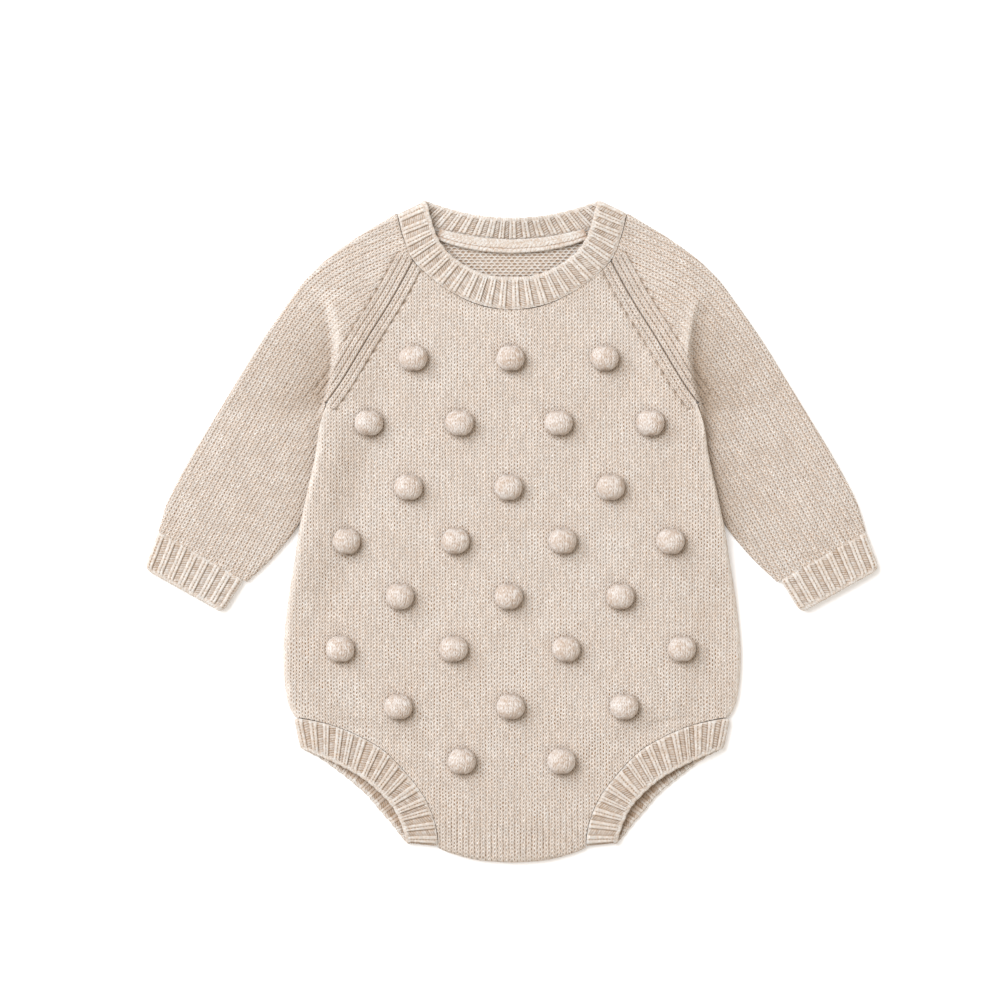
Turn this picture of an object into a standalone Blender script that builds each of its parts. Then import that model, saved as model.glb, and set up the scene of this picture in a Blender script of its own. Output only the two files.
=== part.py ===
"""A knitted baby romper laid flat, front upwards, with its sleeves down at its sides.

The cloth is a set of thin walls. Each piece is a lofted slab: an outer grid and an inner grid of
points, worked out from the garment's seam lines and from height functions, and closed along its
edges. Lengths are in millimetres until the last step. X runs across the body, Y runs from the
crotch to the neck and Z is up. Left and right are the wearer's, so the left sleeve is at +X.
"""

import math
from collections import namedtuple

import bpy
import numpy as np
from mathutils import Vector
from mathutils.bvhtree import BVHTree

MM = 0.001

# --- driving sizes -------------------------------------------------------------------------
WALL = 2.2  # stockinette cloth of the body
SLEEVE_WALL = 2.0  # stockinette cloth of the sleeves
RIB_WALL = 2.6  # rib of the neckband, cuffs and leg bands
TAPE_WALL = 2.0  # tape over the back neck seam
HALF_GAP = 0.28  # each piece stops this far short of a seam line
LAYER_GAP = 0.8  # air between the back and the front where they lie flat
LOFT = 1.2  # how much more the middle of the front rises than its edges
LOFT_REACH = 45.0  # the distance from the side over which it rises
TUCK_RISE = 4.9  # how far the sleeve tucked under the armpit lifts the body
FOLD_FLAT = 9.0  # the lifted part beside the fold is level this far in
FOLD_REACH = 36.0  # and is back down this far in
FOLD_DROP = 3.5  # the sleeve falls away from the fold within this distance
BACK_INSET = 2.9  # the back stops short of the rounded side, where the front curls round it
BOBBLE_RADIUS_X, BOBBLE_RADIUS_Y, BOBBLE_HEIGHT = 8.4, 7.9, 9.4
BOBBLE_GAP = 0.35  # a bobble's foot stands off the front by this much
CENTRING = 0.4  # moves the finished garment along Y, so that its box is centred on the origin

YARN = (0.742, 0.638, 0.545)
YARN_SHADE = (0.690, 0.583, 0.486)
YARN_LIGHT = (0.790, 0.690, 0.600)

# --- the garment's lines, right-hand half, mirrored for the other half ----------------------
Point = namedtuple("Point", "x y")
Fold = namedtuple("Fold", "x y rise")
Section = namedtuple("Section", "seam_x seam_y seam_z free_x free_y free_z")

CROTCH = [Point(0, -199.2), Point(20.7, -197.6), Point(36.9, -193.4), Point(44.4, -190.2)]
FRONT_LEG = [
    Point(44.4, -190.2), Point(44.6, -183.0), Point(47.2, -172.0), Point(53.3, -158.6),
    Point(63.0, -146.0), Point(76.4, -132.2), Point(91.0, -123.4), Point(107.0, -116.8),
    Point(123.5, -112.6), Point(130.0, -112.0),
]
BACK_LEG = [
    Point(44.4, -190.2), Point(49.5, -180.0), Point(56.5, -166.5), Point(64.2, -156.6),
    Point(72.3, -146.0), Point(82.4, -136.5), Point(94.5, -127.3), Point(107.0, -118.8),
    Point(122.0, -114.0), Point(130.0, -112.0),
]
SIDE = [
    Point(130.0, -112.0), Point(133.0, -107.0), Point(135.1, -101.0), Point(136.8, -89.0),
    Point(137.4, -77.0), Point(137.0, -65.0), Point(134.4, -41.0), Point(130.6, -18.0),
    Point(127.8, 0.0), Point(123.4, 21.0), Point(117.9, 46.0), Point(115.6, 62.0),
    Point(111.1, 77.0),
]
FRONT_RAGLAN = [
    Point(111.1, 77.0), Point(101.2, 91.2), Point(86.4, 116.0), Point(71.5, 140.0),
    Point(59.4, 162.0),
]
BACK_RAGLAN = [
    Point(111.1, 77.0), Point(97.0, 102.0), Point(83.0, 128.0), Point(69.0, 155.0),
    Point(56.3, 182.8),
]
FRONT_NECK = [
    Point(0, 132.8), Point(13.5, 134.0), Point(27.3, 138.6), Point(41.1, 146.4),
    Point(51.9, 154.8), Point(59.4, 162.0),
]
BACK_NECK = [Point(0, 174.6), Point(20, 175.8), Point(40, 179.4), Point(56.3, 182.8)]
SHOULDER_NECK_FRONT = [Point(69.2, 190.7), Point(65.8, 177.5), Point(62.0, 168.0), Point(59.4, 162.0)]
SHOULDER_NECK_BACK = [Point(69.2, 190.7), Point(62.5, 186.0), Point(56.3, 182.8)]
SLEEVE_OUTER = [
    Point(212.4, -0.2), Point(206.4, 18.6), Point(193.8, 42.6), Point(179.4, 66.6),
    Point(164.7, 90.6), Point(150.0, 114.6), Point(133.2, 138.6), Point(124.2, 150.6),
    Point(111.9, 162.6), Point(95.7, 174.6), Point(75.9, 186.8), Point(69.2, 190.5),
]
SLEEVE_INNER = [
    Point(159.0, -30.6), Point(145.0, -17.4), Point(134.5, -5.4), Point(126.0, 6.0),
    Point(119.6, 18.0), Point(116.2, 33.0), Point(115.4, 48.0), Point(116.0, 60.0),
    Point(114.4, 71.0), Point(111.8, 77.2),
]
SLEEVE_NECK = Point(69.3, 190.6)
CUFF_OUTER = [Point(212.7, -0.7), Point(216.2, -11.0), Point(219.6, -20.4), Point(218.2, -24.2)]
CUFF_INNER = [Point(161.2, -29.9), Point(166.6, -38.4), Point(171.4, -46.0), Point(175.0, -48.4)]

# The fold from the shoulder down the armhole and on along the body's side: the cloth is raised
# on its body side by this much.
ARM_FOLD = [
    Fold(121.0, 146.4, 0.0), Fold(111.0, 138.0, 1.2), Fold(106.4, 119.4, 3.2),
    Fold(105.3, 106.2, 4.2), Fold(107.1, 91.2, 4.7), Fold(111.1, 77.0, 4.9),
    Fold(115.6, 62.0, 4.9), Fold(117.9, 46.0, 4.9), Fold(123.4, 21.0, 4.9),
    Fold(127.6, 1.0, 4.9), Fold(130.6, -18.0, 3.2), Fold(132.8, -30.0, 1.6),
    Fold(134.4, -42.0, 0.5), Fold(136.0, -54.0, 0.0),
]

# Rib rings, as lines across the middle of their wall from the seam to the free edge.
# The neckband's half ring runs from the front centre over the shoulder to the back centre.
NECKBAND = [
    Section(0.0, 132.8, 4.5, 0.0, 152.4, 5.2),
    Section(20.0, 135.9, 4.5, 14.3, 153.8, 5.2),
    Section(37.5, 144.0, 4.6, 26.9, 158.9, 6.0),
    Section(50.6, 153.6, 4.8, 37.3, 166.2, 7.0),
    Section(60.2, 163.8, 5.2, 43.8, 174.6, 7.6),
    Section(65.6, 177.5, 5.4, 47.7, 184.6, 7.6),
    Section(67.8, 186.4, 5.0, 50.2, 194.2, 6.8),
    Section(68.2, 189.6, 3.2, 51.5, 197.6, 4.0),
    Section(63.4, 186.4, 1.4, 47.5, 196.8, 1.5),
    Section(50.0, 182.0, 1.4, 38.5, 193.8, 1.6),
    Section(30.0, 177.8, 1.4, 23.0, 190.0, 3.8),
    Section(12.0, 175.2, 1.4, 9.2, 188.2, 6.2),
    Section(0.0, 174.6, 1.4, 0.0, 187.9, 6.6),
]
# The leg band's ring runs from the side over the front to the crotch and back under.
LEG_BAND = [
    Section(129.8, -112.7, 3.0, 126.0, -130.6, 3.4),
    Section(123.5, -112.9, 4.4, 120.5, -132.8, 5.2),
    Section(107.0, -116.8, 4.5, 108.3, -138.2, 5.8),
    Section(91.0, -123.4, 4.5, 96.8, -144.0, 6.2),
    Section(76.4, -132.2, 4.5, 86.2, -150.9, 6.3),
    Section(63.0, -146.0, 4.5, 76.6, -159.8, 6.2),
    Section(53.3, -158.6, 4.5, 70.8, -167.0, 5.9),
    Section(47.2, -172.0, 4.5, 66.6, -175.8, 5.5),
    Section(44.8, -182.6, 4.4, 64.2, -183.2, 4.9),
    Section(44.9, -188.6, 3.0, 63.6, -186.6, 3.2),
    Section(49.5, -180.0, 1.4, 66.9, -183.2, 1.4),
    Section(56.5, -166.5, 1.4, 72.6, -175.8, 1.4),
    Section(64.2, -156.6, 1.4, 79.2, -168.3, 1.4),
    Section(72.3, -146.0, 1.4, 86.6, -159.4, 1.4),
    Section(82.4, -136.5, 1.4, 95.0, -151.8, 1.4),
    Section(94.5, -127.3, 1.4, 104.6, -144.2, 1.4),
    Section(107.0, -118.8, 1.4, 115.0, -136.8, 1.4),
    Section(122.0, -114.3, 1.4, 122.8, -132.6, 1.5),
]
# The tape lies on the inside of the back, from its centre outwards.
NECK_TAPE = [
    Section(0.0, 166.5, 0, 0.0, 175.0, 0),
    Section(18.0, 167.8, 0, 16.5, 176.0, 0),
    Section(34.0, 171.0, 0, 31.0, 178.4, 0),
    Section(46.0, 175.0, 0, 43.0, 181.2, 0),
]

# Bobbles, row by row from the neck down: the row's height, then its bobbles across the front.
BOBBLE_ROWS = [
    (103.6, (-59.1, -0.9, 55.5)),
    (64.8, (-86.1, -31.5, 27.9, 83.1)),
    (26.2, (-62.1, -2.1, 59.1)),
    (-6.0, (-99.3, -33.9, 30.3, 95.1)),
    (-39.2, (-67.2, -2.1, 64.8)),
    (-70.6, (-102.9, -35.1, 32.4, 101.7)),
    (-105.2, (-68.1, -0.9, 67.2)),
    (-137.8, (-30.1, 29.6)),
]


# --- curves and blends -----------------------------------------------------------------------
def smooth(t):
    t = np.clip(t, 0.0, 1.0)
    return t * t * (3 - 2 * t)


def spline(points, closed, steps):
    """Points along a smooth curve through these points, and where each of these comes in it."""
    p = np.array([tuple(q) for q in points], float)
    if closed:
        padded = np.vstack([p[-1], p, p[0], p[1]])
    else:
        padded = np.vstack([2 * p[0] - p[1], p, 2 * p[-1] - p[-2]])
    out = []
    for a, b, c, d in zip(padded, padded[1:], padded[2:], padded[3:]):
        for t in np.arange(steps) / steps:
            out.append(
                b + 0.5 * t * (c - a + t * (2 * a - 5 * b + 4 * c - d + t * (3 * b - a - 3 * c + d)))
            )
    return np.array(out + [padded[-2]])


class Curve:
    """One smooth line, or several that meet at corners, read by its share of length."""

    def __init__(self, *lines, closed=False, steps=12):
        runs = [spline(line, closed, steps) for line in lines]
        self.p = np.concatenate([runs[0]] + [run[1:] for run in runs[1:]])
        step = np.linalg.norm(np.diff(self.p[:, :2], axis=0), axis=1)
        self.s = np.concatenate([[0], np.cumsum(step)])
        self.length = self.s[-1]
        ends = np.cumsum([0] + [len(run) - 1 for run in runs])
        self.ends = self.s[ends] / self.length  # the share at each corner

    def at(self, t):
        s = np.clip(t, 0, 1) * self.length
        return np.stack([np.interp(s, self.s, self.p[:, k]) for k in range(self.p.shape[1])], -1)


def inset(points, distance):
    """The line moved to its left by this distance, walking along it."""
    p = np.array([tuple(q) for q in points], float)[:, :2]
    t = np.gradient(p, axis=0)
    t /= np.linalg.norm(t, axis=1)[:, None]
    return p + distance * np.stack([-t[:, 1], t[:, 0]], -1)


# --- heights ---------------------------------------------------------------------------------
FOLD_LINE = Curve(ARM_FOLD, steps=6).p
HALF_OUTLINE = Curve(FRONT_LEG, SIDE, FRONT_RAGLAN, steps=4).p


def fold_rise(x, y, drop=True):
    """How far the cloth is raised here by the fold over the tucked sleeve."""
    q = np.stack([np.abs(x), y], -1)[..., None, :]
    a, b = FOLD_LINE[:-1, :2], FOLD_LINE[1:, :2]
    ab = b - a
    t = np.clip(((q - a) * ab).sum(-1) / (ab * ab).sum(-1), 0, 1)
    gap = q - (a + t[..., None] * ab)
    far = np.linalg.norm(gap, axis=-1)
    k = far.argmin(-1)[..., None]
    pick = lambda v: np.take_along_axis(np.broadcast_to(v, far.shape), k, -1)[..., 0]
    d = -pick(far) * np.sign(pick(gap[..., 0] * ab[:, 1] - gap[..., 1] * ab[:, 0]))
    rise = pick(FOLD_LINE[:-1, 2] + t * (FOLD_LINE[1:, 2] - FOLD_LINE[:-1, 2]))
    inward = 1 - smooth((-d - FOLD_FLAT) / (FOLD_REACH - FOLD_FLAT))
    outward = 1 - smooth(d / FOLD_DROP) if drop else np.zeros_like(d)
    return rise * np.where(d < 0, inward, outward)


def side_distance(x, y):
    """The distance across to the body's side, raglan or leg line at this height."""
    order = np.argsort(HALF_OUTLINE[:, 1])
    return np.interp(y, HALF_OUTLINE[order, 1], HALF_OUTLINE[order, 0]) - np.abs(x)


def front_top(x, y):
    loft = LOFT * smooth(side_distance(x, y) / LOFT_REACH)
    return 2 * WALL + LAYER_GAP + loft + fold_rise(x, y)


def back_lift(x, y):
    """The back is raised only where the sleeve is tucked under it, below the armpit."""
    return fold_rise(x, y) * (1 - smooth((y - 62.0) / 18.0))


# --- meshes ----------------------------------------------------------------------------------
def slab(outer, inner, around=False, flip=False):
    """Vertices and faces of the closed wall between two grids [i][j]; around joins the last i to
    the first."""
    n, m = outer.shape[:2]
    points = np.concatenate([outer.reshape(-1, 3), inner.reshape(-1, 3)])
    O = lambda i, j: (i % n) * m + j
    I = lambda i, j: n * m + (i % n) * m + j
    faces = []
    for i in range(n if around else n - 1):
        for j in range(m - 1):
            faces.append((O(i, j), O(i + 1, j), O(i + 1, j + 1), O(i, j + 1)))
            faces.append((I(i, j), I(i, j + 1), I(i + 1, j + 1), I(i + 1, j)))
        faces.append((O(i + 1, 0), O(i, 0), I(i, 0), I(i + 1, 0)))
        faces.append((O(i, m - 1), O(i + 1, m - 1), I(i + 1, m - 1), I(i, m - 1)))
    if not around:
        for j in range(m - 1):
            faces.append((O(0, j), O(0, j + 1), I(0, j + 1), I(0, j)))
            faces.append((O(n - 1, j + 1), O(n - 1, j), I(n - 1, j), I(n - 1, j + 1)))
    if flip:
        faces = [f[::-1] for f in faces]
    return points, faces


def volume(points, faces):
    total = 0.0
    for f in faces:
        for k in range(1, len(f) - 1):
            total += np.linalg.det(points[[f[0], f[k], f[k + 1]]])
    return total / 6


def cloth_material(name, colour, roughness):
    material = bpy.data.materials.new(name)
    material.use_nodes = True
    shader = material.node_tree.nodes["Principled BSDF"]
    shader.inputs["Base Color"].default_value = (*colour, 1)
    shader.inputs["Roughness"].default_value = roughness
    shader.inputs["Metallic"].default_value = 0.0
    material.diffuse_color = (*colour, 1)
    return material


def add(name, points, faces, material, parent):
    """A mesh object with its origin at the middle of its own box."""
    if volume(points, faces) < 0:
        faces = [f[::-1] for f in faces]
    middle = (points.min(0) + points.max(0)) / 2
    mesh = bpy.data.meshes.new(name)
    mesh.from_pydata(((points - middle) * MM).tolist(), [], [tuple(map(int, f)) for f in faces])
    mesh.materials.append(material)
    mesh.shade_smooth()
    mesh.set_sharp_from_angle(angle=math.radians(50))
    obj = bpy.data.objects.new(name, mesh)
    obj.location = Vector(middle.tolist()) * MM
    obj.parent = parent
    bpy.context.scene.collection.objects.link(obj)
    return obj


# --- body panels -----------------------------------------------------------------------------
class Patch:
    """Half of a body panel in plan: a from the centre line to the side, s from crotch to neck."""

    def __init__(self, crotch, sides, neck):
        self.crotch, self.side, self.neck = Curve(crotch), Curve(*sides), Curve(neck)
        self.low, self.high = self.side.at(0), self.side.at(1)

    def rows(self, legs, side, raglan):
        """Shares along the side line, this many to each of its three runs."""
        t, out = self.side.ends, []
        for n, (a, b) in zip((legs, side, raglan), zip(t[:-1], t[1:])):
            out += list(np.linspace(a, b, n, endpoint=False))
        return np.array(out + [1.0])

    def at(self, a, s):
        edge = self.side.at(s)
        w = ((edge[..., 1] - self.low[1]) / (self.high[1] - self.low[1]))[..., None]
        c0, c1 = self.crotch.at(np.zeros(1))[0], self.neck.at(np.zeros(1))[0]
        centre = c0 + w * (c1 - c0)
        a_ = a[..., None]
        low = self.crotch.at(a) - (c0 + a_ * (self.crotch.at(np.ones(1))[0] - c0))
        high = self.neck.at(a) - (c1 + a_ * (self.neck.at(np.ones(1))[0] - c1))
        return (1 - a_) * centre + a_ * edge + (1 - w) * low + w * high


def body_patch(leg, raglan, neck, side_inset, crotch_inset):
    sides = inset(SIDE, side_inset)
    leg_line, raglan_line = inset(leg, HALF_GAP), inset(raglan, HALF_GAP)
    leg_line[-1] = sides[0]
    raglan_line[0] = sides[-1]
    neck_line = inset(neck, -HALF_GAP)
    neck_line[-1] = raglan_line[-1] = (neck_line[-1] + raglan_line[-1]) / 2
    neck_line[0, 0] = 0
    crotch_line = inset(CROTCH, crotch_inset)
    crotch_line[0, 0] = 0
    crotch_line[-1] = leg_line[0] = (leg_line[0][0], crotch_line[-1][1])
    return Patch(crotch_line, (leg_line, sides, raglan_line), neck_line)


# Distances in from the edge, and the share of the height reached there, for the cloth curling
# round a side fold (outer and inner skin) and for a cut edge at a seam.
Curl = namedtuple("Curl", "outer_d outer_h inner_d inner_h seam_d")
CURL = [
    Curl(0.9, 0.00, 2.3, 0.03, 0.0),
    Curl(0.0, 0.38, 2.3, 0.45, 0.7),
    Curl(0.6, 0.80, 2.6, 0.86, 1.6),
    Curl(2.2, 0.96, 3.6, 0.98, 3.0),
    Curl(5.5, 1.00, 5.8, 1.00, 5.6),
]


def front_panel(material, parent):
    patch = body_patch(FRONT_LEG, FRONT_RAGLAN, FRONT_NECK, 0.0, 0.0)
    _, leg_end, armpit, _ = patch.side.ends
    inner_shares = np.linspace(0, 1, 6)[:-1]
    upper_rows = patch.rows(13, 11, 7)[1:]

    def skin(outer):
        half = []
        crotch_rows = [(k.outer_d if outer else k.inner_d) for k in CURL]
        crotch_rows[0] = 0.0 if outer else crotch_rows[0]
        crotch_rows[1] += 0.3 if outer else 0.2
        crotch_h = [(0.42, k.outer_h)[n > 0] if outer else k.inner_h for n, k in enumerate(CURL)]
        crotch_h[1] = 0.62 if outer else crotch_h[1]
        rows = np.concatenate([np.array(crotch_rows) / patch.side.length, upper_rows])
        roll = np.concatenate([crotch_h, np.ones(len(upper_rows))])
        for s, rolled in zip(rows, roll):
            c = 1.0 if leg_end - 1e-6 < s < armpit + 1e-6 else 0.0
            width = patch.side.at(s)[0]
            ds = np.array([
                c * (k.outer_d if outer else k.inner_d) + (1 - c) * k.seam_d for k in CURL[::-1]
            ])
            hs = np.array([
                c * (k.outer_h if outer else k.inner_h) + (1 - c) for k in CURL[::-1]
            ])
            first = 1 - ds[0] / width
            a = np.concatenate([inner_shares * first, 1 - ds / width])
            h = np.concatenate([np.ones(len(inner_shares)), hs]) * rolled
            xy = patch.at(a, np.full(len(a), s))
            top = front_top(xy[:, 0], xy[:, 1])
            foot = back_lift(xy[:, 0], xy[:, 1]) + 0.2
            level = top if outer else top - WALL
            half.append(np.column_stack([xy, foot + h * (level - foot)]))
        half = np.array(half).transpose(1, 0, 2)  # [across][along]
        mirrored = half[:0:-1] * (-1, 1, 1)
        return np.concatenate([mirrored, half])

    return add("front_panel", *slab(skin(True), skin(False)), material, parent)


def back_panel(material, parent):
    patch = body_patch(BACK_LEG, BACK_RAGLAN, BACK_NECK, BACK_INSET, BACK_INSET)
    rows = patch.rows(9, 10, 5)
    a = np.concatenate([np.linspace(0, 0.75, 4), [0.88, 0.95, 1.0]])

    def skin(level):
        grid = []
        for s in rows:
            xy = patch.at(a, np.full(len(a), s))
            grid.append(np.column_stack([xy, back_lift(xy[:, 0], xy[:, 1]) + level]))
        half = np.array(grid).transpose(1, 0, 2)
        return np.concatenate([half[:0:-1] * (-1, 1, 1), half])

    return add("back_panel", *slab(skin(WALL), skin(0.0)), material, parent)


# --- sleeves and cuffs -----------------------------------------------------------------------
# Sections across a sleeve, from the cuff to the armhole: where each meets the outer and inner
# folds, as a share of their lengths, and how far it has taken on the armhole's bent line.
Across = namedtuple("Across", "outer inner bend")
SLEEVE_SECTIONS = [
    Across(0.00, 0.00, 0.0), Across(0.11, 0.20, 0.0), Across(0.22, 0.38, 0.0), Across(0.32, 0.54, 0.0),
    Across(0.41, 0.68, 0.0), Across(0.49, 0.80, 0.0), Across(0.56, 0.89, 0.0), Across(0.63, 0.93, 0.13),
    Across(0.71, 0.955, 0.31), Across(0.79, 0.97, 0.5), Across(0.87, 0.98, 0.69), Across(0.94, 0.99, 0.86),
    Across(1.00, 1.00, 1.0),
]
CUFF_SECTIONS = [Across(0.0, 0.0, 0.0), Across(0.6, 0.6, 0.0), Across(0.86, 0.86, 0.0), Across(1.0, 1.0, 0.0)]
# How far round from the outer fold to the inner one each point of a section lies.
SLEEVE_SHARES = np.array([0, 0.006, 0.025, 0.08, 0.18, 0.3, 0.42, 0.54, 0.66, 0.77, 0.86, 0.93, 0.975, 0.993, 1.0])
CUFF_SHARES = np.array([0, 0.015, 0.05, 0.28, 0.5, 0.72, 0.95, 0.985, 1.0])
FOLD_RADIUS = 2.3


def across(outer, inner, end, w, section):
    """Points in plan along one section of a flattened tube, w from its outer fold to its inner."""
    o, i = outer.at(section.outer), inner.at(section.inner)
    w = w[:, None]
    ends = end.at(0.0) * (1 - w) + end.at(1.0) * w
    return (1 - w) * o + w * i + section.bend * (end.at(w[:, 0]) - ends)


def tube(name, outer, inner, top_end, bottom_end, sections, shares, wall, top_level, puff, sign, material, parent):
    """A flattened tube: its upper and lower layers meet in a rounded fold at each side."""
    skins = []
    for depth in (0.0, wall):
        loops = []
        for section in sections:
            width = np.linalg.norm(outer.at(section.outer) - inner.at(section.inner))
            w = shares * (1 - 2 * depth / width) + depth / width
            up, down = (across(outer, inner, end, w, section) for end in (top_end, bottom_end))
            level = top_level(up, section) + puff * (1 - section.outer**2) * (4 * shares * (1 - shares)) ** 1.5
            middle = level / 2
            from_fold = np.clip(np.minimum(shares, 1 - shares) * width / FOLD_RADIUS, 0, 1)
            half = (middle - depth) * np.sqrt(1 - (1 - from_fold) ** 2)
            top = np.column_stack([up, middle + half])
            bottom = np.column_stack([down, middle - half])
            loops.append(np.concatenate([top, bottom[-2:0:-1]]))
        skins.append(np.array(loops).transpose(1, 0, 2) * (sign, 1, 1))
    return add(name, *slab(*skins, around=True), material, parent)


def sleeve_top(xy, section):
    """The sleeve's upper skin: low along the arm, level with the body at the raglan seam, and
    raised by the fold above the armpit only, because below it the sleeve is what is tucked."""
    x, y = xy[:, 0], xy[:, 1]
    low = 2 * SLEEVE_WALL + 0.4
    at_seam = 2 * WALL + LAYER_GAP
    above_armpit = smooth((y - 64.0) / 12.0)
    near_body = smooth((section.outer - 0.45) / 0.4)
    return low + ((at_seam - low) * near_body + fold_rise(x, y)) * above_armpit


def sleeve(name, sign, material, parent):
    ends = []
    for neck, raglan in ((SHOULDER_NECK_FRONT, FRONT_RAGLAN), (SHOULDER_NECK_BACK, BACK_RAGLAN)):
        neck, raglan = inset(neck, HALF_GAP), inset(raglan[::-1], HALF_GAP)
        neck[0], raglan[-1] = SLEEVE_NECK, SLEEVE_INNER[-1]
        neck[-1] = raglan[0] = (raglan[0] + neck[-1]) / 2
        ends.append(Curve(neck, raglan))
    outer, inner = Curve(SLEEVE_OUTER[:-1] + [SLEEVE_NECK]), Curve(SLEEVE_INNER)
    return tube(
        name, outer, inner, *ends, SLEEVE_SECTIONS, SLEEVE_SHARES, SLEEVE_WALL, sleeve_top, 1.2, sign, material, parent
    )


def cuff(name, sign, material, parent):
    hem = Curve([CUFF_OUTER[-1], CUFF_INNER[-1]])
    level = lambda xy, section: np.full(len(xy), 2 * RIB_WALL + 0.4)
    return tube(
        name, Curve(CUFF_OUTER), Curve(CUFF_INNER), hem, hem, CUFF_SECTIONS, CUFF_SHARES, RIB_WALL, level, 0.3, sign,
        material, parent,
    )


# --- rib rings and tape ----------------------------------------------------------------------
def rib_ring(name, sections, sign, wall, steps, material, parent, across=(0.0, 0.35, 0.7, 1.0)):
    """A strip swept round a closed ring; sections run from the seam to the free edge."""
    seam = Curve([s[:3] for s in sections], closed=True, steps=steps).p[:-1]
    free = Curve([s[3:] for s in sections], closed=True, steps=steps).p[:-1]
    width = free - seam
    seam = seam + width / np.linalg.norm(width, axis=1)[:, None] * (HALF_GAP + 0.2)
    width = free - seam
    tangent = np.roll(seam + free, -1, 0) - np.roll(seam + free, 1, 0)
    normal = np.cross(tangent, width)
    normal /= np.linalg.norm(normal, axis=1)[:, None]
    for _ in range(2):
        normal = (np.roll(normal, 1, 0) + 2 * normal + np.roll(normal, -1, 0))
        normal /= np.linalg.norm(normal, axis=1)[:, None]
    outer, inner = [], []
    for k in across:
        middle = seam + k * width
        half = wall / 2 * (0.72 if k in (0.0, 1.0) else 1.0)
        outer.append(middle + half * normal)
        inner.append(middle - half * normal)
    outer, inner = (np.array(g).transpose(1, 0, 2) * (sign, 1, 1) for g in (outer, inner))
    points, faces = slab(outer, inner, around=True)
    points[:, 2] = np.maximum(points[:, 2], 0.0)
    return add(name, points, faces, material, parent)


def full_ring(half):
    """The half ring and its mirror image, as one closed run of sections."""
    back = [Section(-s.seam_x, s.seam_y, s.seam_z, -s.free_x, s.free_y, s.free_z) for s in half[-2:0:-1]]
    return half + back


def neck_tape(material, parent):
    low = Curve([s[:2] for s in NECK_TAPE]).at(np.linspace(0, 1, 9))
    high = Curve([s[3:5] for s in NECK_TAPE]).at(np.linspace(0, 1, 9))
    low = np.concatenate([low[:0:-1] * (-1, 1), low])
    high = np.concatenate([high[:0:-1] * (-1, 1), high])
    outer, inner = [], []
    for share, lift in ((0, 0.75), (0.25, 1.0), (0.7, 1.0), (1, 0.7)):
        xy = low + share * (high - low)
        foot = np.full(len(xy), WALL + 0.7)
        outer.append(np.column_stack([xy, foot + TAPE_WALL * lift]))
        inner.append(np.column_stack([xy, foot]))
    outer, inner = (np.array(g).transpose(1, 0, 2) for g in (outer, inner))
    return add("neck_tape", *slab(outer, inner), material, parent)


# --- bobbles ---------------------------------------------------------------------------------
def bobble_mesh(sides=10):
    """A knitted ball drawn in at its foot; z = 0 is its foot."""
    rings = [(0.76, 0.0), (1.0, 0.3), (0.87, 0.66), (0.48, 0.92)]
    points, faces = [], []
    for r, h in rings:
        for k in range(sides):
            angle = 2 * math.pi * k / sides
            points.append((r * BOBBLE_RADIUS_X * math.cos(angle), r * BOBBLE_RADIUS_Y * math.sin(angle), h * BOBBLE_HEIGHT))
    points.append((0, 0, BOBBLE_HEIGHT))
    for j in range(len(rings) - 1):
        for k in range(sides):
            a, b = j * sides + k, j * sides + (k + 1) % sides
            faces.append((a, b, b + sides, a + sides))
    last = (len(rings) - 1) * sides
    faces += [(last + k, last + (k + 1) % sides, len(points) - 1) for k in range(sides)]
    faces.append(tuple(range(sides))[::-1])
    mesh = bpy.data.meshes.new("bobble")
    mesh.from_pydata([tuple(c * MM for c in p) for p in points], [], faces)
    mesh.shade_smooth()
    mesh.set_sharp_from_angle(angle=math.radians(60))
    return mesh


def bobbles(front, material, parent):
    """Each bobble stands square on the front where it is sewn, just clear of it."""
    bpy.context.view_layer.update()
    to_world = front.matrix_world
    cloth = BVHTree.FromPolygons(
        [to_world @ v.co for v in front.data.vertices], [tuple(p.vertices) for p in front.data.polygons]
    )
    down = Vector((0, 0, -1))
    ball = bobble_mesh()
    ball.materials.append(material)
    number = 0
    for y, xs in BOBBLE_ROWS:
        for x in xs:
            number += 1
            hits = []
            for ring in (0.0, 0.45, 0.8):
                for k in range(12 if ring else 1):
                    angle = 2 * math.pi * k / 12
                    at = Vector((x + ring * BOBBLE_RADIUS_X * math.cos(angle), y + ring * BOBBLE_RADIUS_Y * math.sin(angle), 50)) * MM
                    hits.append(cloth.ray_cast(at, down)[0])
            middle = hits[0]
            spread = np.array(hits) - np.array(middle)
            slope = np.linalg.lstsq(spread[:, :2], spread[:, 2], rcond=None)[0]
            normal = Vector((-slope[0], -slope[1], 1)).normalized()
            proud = max((Vector(h) - middle).dot(normal) for h in hits)
            obj = bpy.data.objects.new(f"bobble_{number:02d}", ball)
            obj.location = middle + normal * (proud + BOBBLE_GAP * MM)
            obj.rotation_mode = "QUATERNION"
            obj.rotation_quaternion = Vector((0, 0, 1)).rotation_difference(normal)
            obj.parent = parent
            bpy.context.scene.collection.objects.link(obj)


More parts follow.
